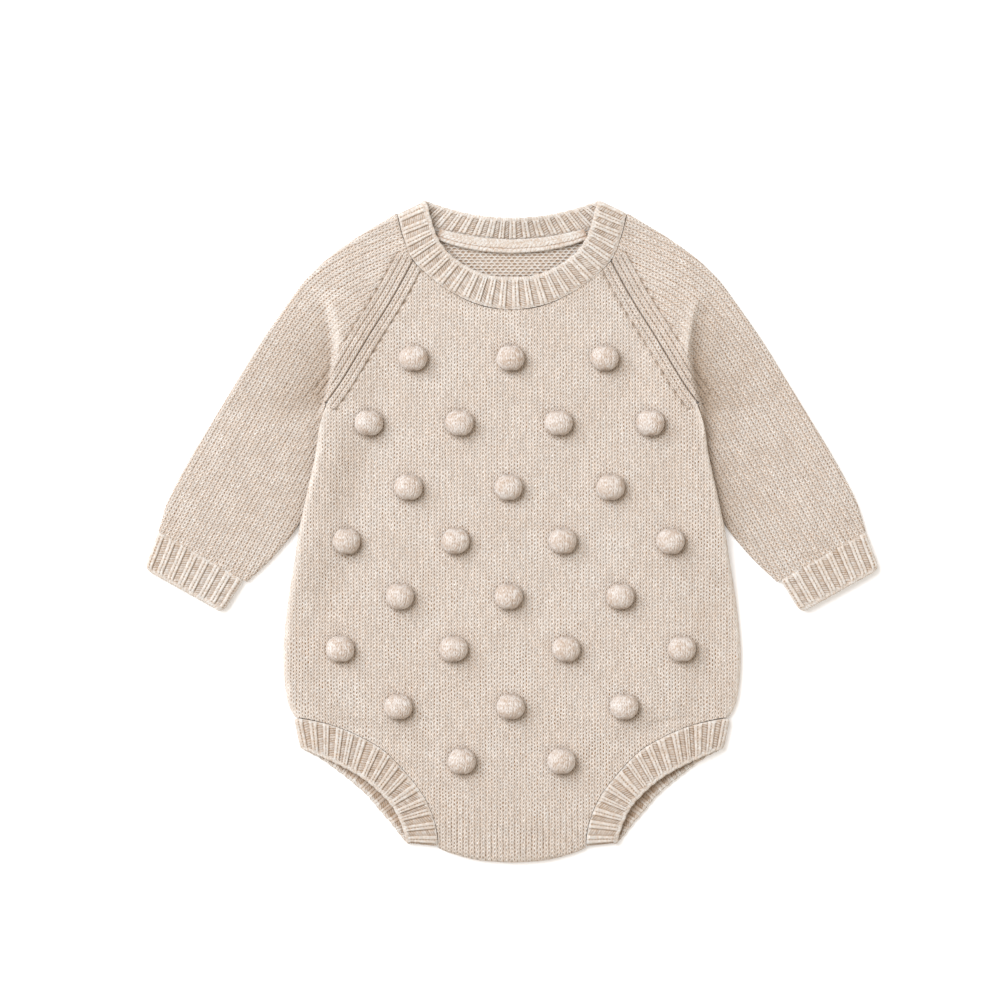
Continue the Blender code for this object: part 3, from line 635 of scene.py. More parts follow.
def panel_relief(flat, bands, band, seams, base_stitch, seed, apart=0.12, bold=1.0):
    """The stitches' height and darkness for each vertex, and the corner coordinates by face."""
    u, v = base_stitch
    own = np.column_stack([u, v])
    zone = np.zeros(len(flat.xy), int)
    coords = [own]
    x, y = flat.xy.T
    height = stocking(u, v, apart) * (1 + 0.25 * waves(x, y, seed, 14.0))
    # away from the lattice the points are too few to carry stitches
    edge = np.minimum.reduce([flat.near[r.name][0] for r in flat.runs if r.name not in bands])
    height = -0.22 + (height + 0.22) * smooth((edge - 0.9) / 3.2)
    dark = np.zeros(len(u))
    for k, name in enumerate(bands, 1):
        d, s = flat.near[name]
        abreast = flat.beyond[name] < 0.5
        band_uv = np.column_stack([d / WALE + 0.5, s / COURSE + 0.31 * k])
        coords.append(band_uv)
        inner = (d < band + 0.05) & abreast
        zone[inner] = k
        height = np.where(inner, cords(band_uv[:, 0], band_uv[:, 1]) + 0.1, height)
        d = np.where(abreast, d, d + 3.0 * (flat.beyond[name] - 0.5))
        marks = decrease_marks(d, s, band, 1.7 * k)
        lifted = np.exp(-(((d - band + 1.5) / 1.0) ** 2))
        height = height - 1.1 * bold * marks - 0.25 * np.exp(-(((d - band - 0.2) / 0.6) ** 2)) + 0.25 * lifted
        # painted shade in the fashioning marks' hollows and along the band's edge
        dark = dark + 1.4 * bold * marks + 0.18 * np.exp(-(((d - band - 0.1) / 0.6) ** 2))
        c, cv = np.cos(2 * math.pi * band_uv[:, 0]), np.cos(2 * math.pi * band_uv[:, 1])
        parting, middle = np.maximum(-c, 0) ** 3 * (0.7 - 0.3 * cv), np.maximum(c, 0) ** 3 * (0.5 + 0.5 * cv)
        # painted shade in the band's partings and wale middles, and in the raglan seam's groove
        dark = dark + (0.42 * parting + 0.34 * middle) * (inner & (d > 0.6) & (d < band - 0.8))
        dark = dark + (0.50 + 0.26 * cv) * np.exp(-((d / 0.5) ** 2))
    for name, depth, shade in seams:
        d, s = flat.near[name]
        height = height - depth * np.exp(-((d / 0.8) ** 2))
        dots = (0.5 + 0.5 * np.cos(2 * math.pi * s / WALE)) ** 2
        # painted shade, dotted, in the seam's groove
        dark = dark + shade * np.exp(-(((d - 0.4) / 0.6) ** 2)) * (0.22 + 0.78 * dots)

    def corners(tris):
        out = own[tris]
        for k in range(1, len(coords)):
            pick = (zone[tris] == k).all(1)
            out[pick] = coords[k][tris[pick]]
        return out

    return height, np.clip(dark, 0, 1), corners


# --- the front ----------------------------------------------------------------------------------
def mirrored(p):
    return p[::-1] * (-1, 1)


def body_lines(leg, raglan, neck, side_inset, crotch_inset, gap):
    """The panel's outline as runs, anticlockwise from the middle of the crotch."""
    side = spline(SIDE, False, 10)
    leg, raglan, neck = (spline(p, False, 10) for p in (leg, raglan, neck))
    crotch = spline(CROTCH, False, 10)
    leg, raglan = leg + gap * normals(leg), raglan + gap * normals(raglan)
    neck = neck - gap * normals(neck)
    side, crotch = side + side_inset * normals(side), crotch + crotch_inset * normals(crotch)
    neck[0, 0] = crotch[0, 0] = 0
    corner = np.array([leg[0, 0], crotch[-1, 1]])
    crotch[-1] = leg[0] = corner
    leg[-1] = side[0]
    side[-1] = raglan[0]
    top = (raglan[-1] + neck[-1]) / 2
    raglan[-1] = neck[-1] = top
    both_crotch = np.concatenate([mirrored(crotch)[:-1], crotch])
    both_neck = np.concatenate([neck[::-1][:-1], neck * (-1, 1)])
    return both_crotch, leg, side, raglan, both_neck


def body_runs(lines, side_offsets=SIDE_OFFSETS, crotch_offsets=SIDE_OFFSETS, band=BODY_OFFSETS):
    crotch, leg, side, raglan, neck = lines
    seam = SEAM_OFFSETS
    return [
        Run("crotch", crotch, STEP, crotch_offsets, 3),
        Run("leg_left", leg, STEP, seam, 2),
        Run("side_left", side, STEP, side_offsets, 1),
        Run("raglan_left", raglan, STEP, band, 0),
        Run("neck", neck, STEP, seam, 4),
        Run("raglan_right", mirrored(raglan), STEP, band, 0),
        Run("side_right", mirrored(side), STEP, side_offsets, 1),
        Run("leg_right", mirrored(leg), STEP, seam, 2),
    ]


def fold_profile(d, reach=3.6, low=0.38):
    return low + (1 - low) * np.sqrt(1 - (1 - np.clip(d / reach, 0, 1)) ** 2)


def make_front(materials):
    piece = Piece("front_knit")
    lines = body_lines(FRONT_LEG, FRONT_RAGLAN, FRONT_NECK, 0.0, 0.0, SEAM_GAP)
    lattice, stitch = centred_lattice((-140, 140), (-201, 165))
    top = Flat(body_runs(lines), lattice, stitch)
    x, y = top.xy.T
    uv = uneven_rows(x, y, 51)
    height, dark, corners = panel_relief(
        top, ["raglan_left", "raglan_right"], BODY_BAND,
        [("neck", 0.15, 0.75), ("leg_left", 0.0, 0.20), ("leg_right", 0.0, 0.20)], uv.T, 31, bold=0.85,
    )
    # the wales part more below, where the cloth is drawn in between the legs, and painted shade darkens the partings
    drawn = smooth((-150 - y) / 40.0) * smooth(top.near["crotch"][0] / 4.0)
    parting = np.maximum(-np.cos(2 * math.pi * uv[:, 0]), 0) ** 2
    height = height - 0.35 * drawn * parting
    dark = dark + 0.42 * drawn * parting
    # a ring of painted shadow round each bobble, heavier on its lower right side, away from the light
    for cx, cy in BOBBLES:
        d = np.hypot((x - cx) / 1.04, (y - cy) / 0.98)
        lee = ((x - cx) - (y - cy)) / (1.45 * np.maximum(d, 1.0))
        dark = dark + (0.36 + 0.26 * lee) * np.exp(-(((d - 8.3) / 1.5) ** 2))
    round_side = np.minimum.reduce([top.near[k][0] for k in ("side_left", "side_right")])
    # on the roll at the side the cloth is pulled smooth, and a painted highlight lightens it
    dark = dark - 0.75 * np.exp(-(((round_side - 0.8) / 2.4) ** 2)) * smooth((y + 170.0) / 60.0)
    # in a hollow beyond the roll the cloth gets a little painted shade
    dark = dark + 0.10 * np.exp(-(((round_side - 22.0) / 9.0) ** 2)) * smooth((y + 175.0) / 60.0) * (1 - smooth((y - 60.0) / 30.0))
    dark = np.clip(dark, -1, 1)
    # the roll tightens towards the armpit, where the sleeve takes over
    tight = 3.6 - 3.1 * smooth((y - 50.0) / 14.0)
    share = fold_profile(round_side, tight) * fold_profile(top.near["crotch"][0], 3.6, 0.42)
    foot = back_lift(x, y) + 0.2
    level = front_top(x, y)
    flatten = smooth(np.minimum(round_side, top.near["crotch"][0]) / 2.0)
    z = foot + share * (level - foot) + height * (0.35 + 0.65 * flatten)
    box = (top.xy.min(0) - 1, top.xy.max(0) + 1)
    start = lay(piece, top, z, corners, dark, (0.0, 0.0, 0.745, 1.0), box)

    # the inner skin, out of sight: coarse, and inset where the cloth curls round the side
    n = top.n
    run_names = [r.name for r in top.runs]
    curled = np.array([run_names[k].startswith("side") or run_names[k] == "crotch" for k in top.run_of], float)
    for _ in range(3):
        curled = (np.roll(curled, 1) + curled + np.roll(curled, -1)) / 3
    edge = top.outline
    turn = np.roll(edge, -1, 0) - np.roll(edge, 1, 0)
    turn /= np.linalg.norm(turn, axis=1)[:, None]
    inward = np.stack([-turn[:, 1], turn[:, 0]], -1)
    for _ in range(2):
        inward = np.roll(inward, 1, 0) + 2 * inward + np.roll(inward, -1, 0)
        inward /= np.linalg.norm(inward, axis=1)[:, None]
    ex, ey = edge.T
    e_foot, e_level = back_lift(ex, ey) + 0.2, front_top(ex, ey)
    z_top = z[:n]
    loops = []
    for d, h, seam_t in ((0.10, 0.24, 0.3), (0.45, 0.08, 0.55), (1.0, 0.0, 0.8), (2.3, 0.02, 0.9), (2.35, 0.45, 1.0)):
        p = edge + inward * (d * curled + 0.02 * (1 - curled))[:, None]
        fold_z = e_foot + h * (e_level - e_foot)
        seam_z = z_top + seam_t * (e_level - WALL + 0.1 - z_top)
        loops.append(np.column_stack([p, curled * fold_z + (1 - curled) * seam_z]))
    inner_edge = edge + inward * (2.7 * curled + 0.05 * (1 - curled))[:, None]
    inner_runs = []
    for k, r in enumerate(top.runs):
        own = np.nonzero(top.run_of == k)[0]
        own = np.append(own, (own[-1] + 1) % n)
        inner_runs.append(Run(r.name, inner_edge[own], STEP, [3.5], r.rank))
    under = inner_skin(inner_edge, inner_runs, 9.0)
    ux, uy = under[0].T
    u_level = front_top(ux, uy) - WALL
    u_d = np.minimum.reduce([near(under[0], lines_run)[0] for lines_run in (lines[2], mirrored(lines[2]), lines[0])])
    u_share = 0.6 + 0.4 * smooth((u_d - 2.3) / 3.2)
    edge_share = np.ones(len(ux))
    edge_share[:n] = curled * 0.78 + (1 - curled)
    u_share = np.where(np.arange(len(ux)) < n, edge_share, u_share)
    u_foot = back_lift(ux, uy) + 0.2
    uz = u_foot + u_share * (u_level - u_foot)
    u_start = piece.put(np.column_stack([under[0], uz]))
    ulow, uhigh = under[0].min(0), under[0].max(0)
    bake = (under[0] - ulow) / (uhigh - ulow) * (0.235, 0.3) + (0.76, 0.0)
    knit = under[0] / (WALE, COURSE)
    faces = under[1]
    piece.tris(faces[:, ::-1] + u_start, knit[faces[:, ::-1]], bake[faces[:, ::-1]])
    arc = lengths(np.concatenate([edge, edge[:1]]))[:-1]
    rim(
        piece, start + np.arange(n), u_start + np.arange(n), loops,
        np.column_stack([arc / WALE, np.zeros(n)]), (0.76, 0.32, 1.0, 1.0), 10, flip=True,
    )
    return piece.make(materials)


def inner_skin(edge, runs, step):
    """A coarse skin whose outline is exactly this loop of points: (points, triangles)."""
    n = len(edge)
    low, high = edge.min(0), edge.max(0)
    inner = coarse(low, high, step).reshape(-1, 2)
    inner = inner[inside(inner, edge)]
    loop = np.concatenate([edge, edge[:1]])
    inner = inner[near(inner, loop)[0] > 0.45 * step]
    every = edge[:: max(1, int(3.5 / STEP))]
    turn = np.roll(every, -1, 0) - np.roll(every, 1, 0)
    turn /= np.linalg.norm(turn, axis=1)[:, None]
    second = every + 3.2 * np.stack([-turn[:, 1], turn[:, 0]], -1)
    second = second[inside(second, edge)]
    second = second[near(second, loop)[0] > 2.4]
    if len(second) and len(inner):
        gap = np.linalg.norm(inner[:, None] - second[None], axis=-1).min(1)
        inner = inner[gap > 2.5]
    points = np.concatenate([edge, second, inner])
    made, _, tris, ids, _, _ = delaunay_2d_cdt(
        [Vector(p) for p in points], [(i, (i + 1) % n) for i in range(n)], [], 0, 1e-6, True
    )
    where = np.array([i[0] if i else -1 for i in ids])
    tris = where[np.array(tris)]
    tris = tris[(tris >= 0).all(1)]
    tris = tris[inside(points[tris].mean(1), edge)]
    # a sliver just outside a straight edge is left out
    outside = np.zeros(len(tris), bool)
    for k in range(3):
        a, b = tris[:, k], tris[:, (k + 1) % 3]
        outside |= (a < n) & (b < n) & (a == (b + 1) % n)
    return points, tris[~outside]


# --- the back -----------------------------------------------------------------------------------
def make_back(materials):
    piece = Piece("back_knit")
    lines = body_lines(BACK_LEG, BACK_RAGLAN, BACK_NECK, BACK_INSET, BACK_INSET, SEAM_GAP)
    edges = [0.12, 0.4, 0.9]
    lattice, stitch = centred_lattice((-137, 137), (-198, 186))
    runs = body_runs(lines, side_offsets=edges, crotch_offsets=edges)
    under = Flat(runs, lattice, stitch)
    x, y = under.xy.T
    height, dark, corners = panel_relief(
        under, ["raglan_left", "raglan_right"], BODY_BAND,
        [("neck", 0.15, 0.6), ("leg_left", 0.0, 0.2), ("leg_right", 0.0, 0.2)], uneven_rows(x, y, 61).T, 33,
    )
    round_edge = np.minimum.reduce([under.near[k][0] for k in ("side_left", "side_right", "crotch")])
    curl = 0.9 * (1 - np.sqrt(1 - (1 - np.clip(round_edge / 0.9, 0, 1)) ** 2))
    z = back_lift(x, y) + np.maximum(-height * 0.9, 0.0) + curl
    box = (under.xy.min(0) - 1, under.xy.max(0) + 1)
    start = lay(piece, under, z, corners, dark, (0.0, 0.0, 0.72, 1.0), box, turn=True)

    # the inside: fine where the neck shows it, coarse elsewhere
    shown = lambda p: (np.abs(p[:, 0]) < 56) & (p[:, 1] > 134)
    i, j = np.meshgrid(np.arange(-68, 69), np.arange(218, 413), indexing="ij")
    fine = np.stack([i * WALE / 4, j * PURL_ROW / 4], -1)
    extra = coarse(under.xy.min(0), under.xy.max(0), 9.0).reshape(-1, 2)
    extra = extra[inside(extra, under.outline)]
    extra = extra[near(extra, np.concatenate([under.outline, under.outline[:1]]))[0] > 3.0]
    extra = extra[~((np.abs(extra[:, 0]) < 63) & (extra[:, 1] > 128))]
    top_runs = [r._replace(offsets=[0.6]) for r in runs]
    top = Flat(top_runs, fine, np.stack([i / 4, j / 4], -1), allow=shown, extra=extra)
    tx, ty = top.xy.T
    in_view = shown(top.xy) & (np.minimum.reduce([top.near[k][0] for k in top.near]) > 1.2)
    bumps = np.where(in_view, purl(tx / WALE, ty / PURL_ROW), -0.25)
    t_edge = np.minimum.reduce([top.near[k][0] for k in ("side_left", "side_right", "crotch")])
    tz = back_lift(tx, ty) + WALL + 0.1 + bumps - 0.6 * (1 - np.sqrt(1 - (1 - np.clip(t_edge / 0.9, 0, 1)) ** 2))
    # painted shade in the hollows between the arcs, and a little over the part out of view
    tdark = np.where(in_view, np.clip(-bumps, 0, 1) * 0.25, 0.1)
    t_start = lay(piece, top, tz, top.xy / (WALE, PURL_ROW), tdark, (0.73, 0.0, 1.0, 0.4), box, slot=1)
    n = under.n
    edge = under.outline
    loops = []
    for t in (0.33, 0.66):
        loops.append(np.column_stack([edge, z[:n] + t * (tz[:n] - z[:n])]))
    arc = lengths(np.concatenate([edge, edge[:1]]))[:-1]
    rim(
        piece, start + np.arange(n), t_start + np.arange(n), loops,
        np.column_stack([arc / WALE, np.zeros(n)]), (0.73, 0.42, 1.0, 1.0), 10,
    )
    return piece.make(materials)


# --- sleeves ------------------------------------------------------------------------------------
# The wales run up the arm, bend, and cross the shoulder towards the neck. The bend is softened
# hyperbolas along a hinge line, so that a place's wale and course can be told from where it is.
HINGE = np.array([108.4, 136.5])
DOWN, ACROSS = (np.array([math.cos(a), math.sin(a)]) for a in (math.radians(-61.0), math.radians(159.0)))
ALONG = np.array([-0.575, -0.818])
BEND = 26.0
ALPHA, BETA = np.linalg.solve(np.stack([DOWN, ACROSS], 1), ALONG)
SPREAD = 0.93  # how far apart the wales lie, for a step along the hinge


def arm_place(across, s):
    root = np.sqrt(s * s + BEND**2)
    before, after = (root - s) / 2, (root + s) / 2
    return HINGE + across[..., None] * ALONG + before[..., None] * DOWN + after[..., None] * ACROSS


def arm_uv(q):
    a, b = np.linalg.solve(np.stack([DOWN, ACROSS], 1), (q - HINGE).T)
    total = ALPHA * b + BETA * a
    across = (total - np.sqrt((ALPHA * b - BETA * a) ** 2 + ALPHA * BETA * BEND**2)) / (2 * ALPHA * BETA)
    return np.column_stack([across * SPREAD / WALE, (b - BETA * across - a + ALPHA * across) / COURSE])


def arm_lattice():
    """Points a quarter wale by half a course apart along the sleeve's wales."""
    i, j = np.meshgrid(np.arange(-120, 160), np.arange(-210, 110), indexing="ij")
    return arm_place(i * WALE / 4 / SPREAD, j * STEP), np.stack([i / 4, j / 2], -1)


ARM_XY, ARM_UV = arm_lattice()


def sleeve_lines(neck, raglan, gap):
    outer = spline(SLEEVE_OUTER[:-1] + [SLEEVE_NECK], False, 10)
    inner = spline(SLEEVE_INNER, False, 10)[::-1]
    neck, raglan = spline(neck, False, 10), spline(raglan[::-1], False, 10)
    neck, raglan = neck + gap * normals(neck), raglan + gap * normals(raglan)
    neck[0] = outer[-1]
    raglan[-1] = inner[0]
    neck[-1] = raglan[0] = (neck[-1] + raglan[0]) / 2
    cuff = np.array([inner[-1], outer[0]])
    cuff = resample(cuff, 3.0)
    return outer, neck, raglan, inner, cuff


def make_sleeve(name, materials, mirror):
    piece = Piece(name)
    fold = [0.08, 0.3, 0.7, 1.3, 2.1]
    ends = {}
    for layer, (neck, raglan) in (
        ("top", (SHOULDER_NECK_FRONT, FRONT_RAGLAN)), ("under", (SHOULDER_NECK_BACK, BACK_RAGLAN)),
    ):
        lines = sleeve_lines(neck, raglan, SEAM_GAP)
        outer, neck_line, raglan_line, inner, cuff = lines
        runs = [
            Run("outer", outer, STEP, fold, 1), Run("neck", neck_line, STEP, SEAM_OFFSETS, 3),
            Run("raglan", raglan_line, STEP, ARM_OFFSETS, 0), Run("inner", inner, STEP, fold, 2),
            Run("cuff", cuff, STEP, SEAM_OFFSETS, 4),
        ]
        flat = Flat(runs, ARM_XY, ARM_UV)
        x, y = flat.xy.T
        uv = arm_uv(flat.xy)
        fine = ~np.isnan(flat.stitch[:, 0])
        uv[fine] = flat.stitch[fine]
        uv[:, 1] += 0.22 * waves(x, y, 71, 19.0)
        height, dark, corners = panel_relief(
            flat, ["raglan"], ARM_BAND, [("neck", 0.15, 0.75), ("cuff", 0.0, 0.20)], uv.T, 35, 0.30, 0.6,
        )
        # painted shade where the arm runs in under the ridge, and along the body, deeper on the sleeve that lies away
        # from the light
        past, ridge = past_fold(x, y)
        yoke = smooth((y - 66.0) / 12.0)
        depth, reach = (0.66, 22.0) if mirror else (1.0, 13.0)
        ridge_shade = depth * ridge * smooth((past - 1.9) / 1.6) * np.exp(-np.maximum(past - 5.0, 0) / reach)
        depth, reach = (0.36, 9.0) if mirror else (0.72, 9.0)
        beside = depth * smooth((y + 38.0) / 34.0) * np.exp(-np.maximum(past - 2.5, 0) / reach)
        # on the ridge itself the cloth is pulled smooth, and a painted highlight lightens it
        stretch_and_highlight = 0.95 * ridge * yoke * np.exp(-(((past + 0.9) / 3.0) ** 2))
        stretch_and_highlight = stretch_and_highlight * smooth((flat.near["raglan"][0] - ARM_BAND + 3.0) / 6.0)
        if layer == "top":
            dark = np.clip(dark + yoke * ridge_shade + (1 - yoke) * beside, 0, 1) * (1 - stretch_and_highlight) - stretch_and_highlight
            height = height * (1 - 0.85 * stretch_and_highlight)
        d_out, s_out = flat.near["outer"]
        d_in = flat.near["inner"][0]
        share = s_out / lengths(outer)[-1]
        low, at_seam = 2 * SLEEVE_WALL + 0.4, 2 * WALL + LAYER_GAP
        above = smooth((y - 64.0) / 12.0)
        near_body = smooth((share - 0.45) / 0.4)
        past, ridge = past_fold(x, y)
        crest = 1.1 * ridge * np.exp(-(((past + 2.5) / 4.0) ** 2)) * smooth((flat.near["raglan"][0] - 2.0) / 8.0)
        level = low + ((at_seam - low) * near_body + fold_rise(x, y, 3.4) + crest) * above
        level = level - 0.7 * ridge * above * np.exp(-(((past - 8.0) / 6.0) ** 2))
        level = to_neckband(level, x, y)
        w = d_out / (d_out + d_in + 1e-9)
        level = level + 1.2 * (1 - share**2) * (4 * w * (1 - w)) ** 1.5
        crease = smooth(d_out / 12.0) * smooth(d_in / 12.0) * smooth((y + 35) / 30)
        level = level + 0.45 * crease * waves(x, y, 21, 60.0)
        tight = 2.3 - 1.1 * smooth((y + 12) / 25.0) - 0.7 * smooth((y - 50) / 10.0)
        from_fold = np.minimum(np.clip(d_out / 2.3, 0, 1), np.clip(d_in / tight, 0, 1))
        middle = level / 2
        half = middle * np.sqrt(1 - (1 - from_fold) ** 2)
        soften = smooth(np.minimum(d_out, d_in) / 1.6)
        if layer == "top":
            z = middle + half + height * (0.3 + 0.7 * soften)
        else:
            z = np.maximum(middle - half - height * 0.9 * soften, 0.0)
        boxes = (flat.xy.min(0) - 1, flat.xy.max(0) + 1)
        rect = (0.0, 0.0, 0.49, 0.74) if layer == "top" else (0.505, 0.0, 1.0, 0.74)
        start = lay(piece, flat, z, corners, dark, rect, boxes, turn=layer == "under")
        n = flat.n
        edge = flat.outline
        turn = np.roll(edge, -1, 0) - np.roll(edge, 1, 0)
        turn /= np.linalg.norm(turn, axis=1)[:, None]
        inward = np.stack([-turn[:, 1], turn[:, 0]], -1)
        folded = np.isin(flat.run_of, (0, 3)).astype(float)
        # both ends of a fold belong to it
        folded = np.maximum(folded, np.roll(folded, 1))
        spread = folded.copy()
        for _ in range(3):
            spread = np.maximum(spread, (np.roll(spread, 1) + spread + np.roll(spread, -1)) / 3)
        inner_edge = edge + inward * (SLEEVE_WALL * spread + 0.03)[:, None]
        points, faces = inner_skin(inner_edge, None, 9.0)
        ix, iy = points.T
        i_out, i_in = near(points, outer)[0], near(points, inner)[0]
        i_share = near(points, outer)[1] / lengths(outer)[-1]
        i_above = smooth((iy - 64.0) / 12.0)
        # its triangles are large, so it keeps low beside the ridge
        ring = [(7.0 * math.cos(a), 7.0 * math.sin(a)) for a in np.arange(0, 2 * math.pi, math.pi / 6)]
        i_rise = np.minimum.reduce([fold_rise(ix + dx, iy + dy) for dx, dy in ring + [(0.0, 0.0)]])
        i_level = low + ((at_seam - low) * smooth((i_share - 0.45) / 0.4) + i_rise) * i_above
        i_past, i_ridge = past_fold(ix, iy)
        i_level = i_level - 0.7 * i_ridge * i_above * np.exp(-(((i_past - 8.0) / 9.0) ** 2))
        i_level = to_neckband(i_level, ix, iy)
        iw = i_out / (i_out + i_in + 1e-9)
        i_level = i_level + 1.2 * (1 - i_share**2) * (4 * iw * (1 - iw)) ** 1.5
        i_mid = i_level / 2
        i_half = np.maximum(i_mid - SLEEVE_WALL, 0.1) * smooth((np.minimum(i_out, i_in) - 1.9) / 1.5)
        iz = i_mid + i_half if layer == "top" else i_mid - i_half
        i_start = piece.put(np.column_stack([points, iz]))
        ilow, ihigh = points.min(0), points.max(0)
        r = (0.0, 0.76) if layer == "top" else (0.22, 0.76)
        bake = (points - ilow) / (ihigh - ilow) * (0.2, 0.23) + r
        f = faces[:, ::-1] if layer == "top" else faces
        piece.tris(f + i_start, (points / (WALE, COURSE))[f], bake[f])
        ends[layer] = (start, i_start, flat, z, iz, folded > 0.5)
    # Along the folds the layers share their edge: the lower layer's vertices are moved onto the
    # upper one's, and welded by number.
    weld = {}
    (s0, i0, f0, z0, iz0, fold0), (s1, i1, f1, z1, iz1, fold1) = ends["top"], ends["under"]
    for run in (0, 3):
        a = np.nonzero(f0.run_of == run)[0]
        b = np.nonzero(f1.run_of == run)[0]
        a, b = np.append(a, (a[-1] + 1) % f0.n), np.append(b, (b[-1] + 1) % f1.n)
        for p, q in zip(a, b):
            weld[s1 + q] = s0 + p
            weld[i1 + q] = i0 + p
    # the cut ends, upper and lower, each from its outer to its inner skin
    cuts = {}
    for layer, row in (("top", 0), ("under", 1)):
        start, i_start, flat, z, iz, folded = ends[layer]
        for k, run in enumerate(((1, 2), (4,))):
            own = np.nonzero(np.isin(flat.run_of, run))[0]
            own = np.append(own, (own[-1] + 1) % flat.n)
            arc = lengths(flat.outline[own])
            p = np.column_stack([flat.outline[own], (z[own] + iz[own]) / 2])
            y0 = 0.76 + 0.12 * row + 0.06 * k
            cuts[layer, k] = rim(
                piece, start + own, i_start + own, [p], np.column_stack([arc / WALE, np.zeros(len(arc))]),
                (0.45, y0, 1.0, y0 + 0.055), 4 if k == 0 else 2, closed=False, flip=layer == "top",
            )
    for k in (0, 1):
        for end in (0, -1):
            weld[cuts["under", k][end, 1]] = cuts["top", k][end, 1]
    table = np.arange(piece.count)
    for a, b in weld.items():
        table[a] = b
    piece.faces = [table[f] for f in piece.faces]
    return piece.make(materials, mirror)


# --- ribs ---------------------------------------------------------------------------------------
KNIT = 0.56  # a knit wale's share of the repeat


def rib_relief(phase, row, plain):
    """Height in mm of 1 by 1 rib: a knit wale's two legs, then a purl wale's ladder."""
    p = phase % 1.0
    q, r = p / KNIT, np.clip((p - KNIT) / (1 - KNIT), 0, 1)
    legs = np.sqrt(np.clip(1 - ((np.abs(q - 0.5) - 0.25) / 0.275) ** 2, 0, 1))
    crest = -0.48 * (1 - legs)
    across = np.sin(math.pi * r)
    rungs = 0.5 + 0.5 * np.cos(2 * math.pi * (1.2 * row + 1.1 * r))
    valley = -1.10 + 0.22 * across + 0.42 * across * rungs
    height = np.where(p < KNIT, crest, valley)
    return height + plain * (-0.22 - height)


def rib_shade(phase, plain):
    """How dark: painted shade in the purl troughs, deep beside the knit wales. Below 0 where the stitches give way to
    the edge's.
    """
    p = phase % 1.0
    r = np.clip((p - KNIT) / (1 - KNIT), 0, 1)
    sides = np.exp(-((r / 0.2) ** 2)) + np.exp(-(((1 - r) / 0.2) ** 2))
    return np.where(p < KNIT, 0.0, 0.04 + 0.26 * sides) * (1 - plain) - plain


def rib_plain(from_seam, from_edge):
    """Where the ladder closes: at the cast-off edge, and a little at the seam."""
    return np.maximum(1 - smooth((from_edge - 1.5) / 1.5), 0.75 * (1 - smooth((from_seam - 0.4) / 1.1)))


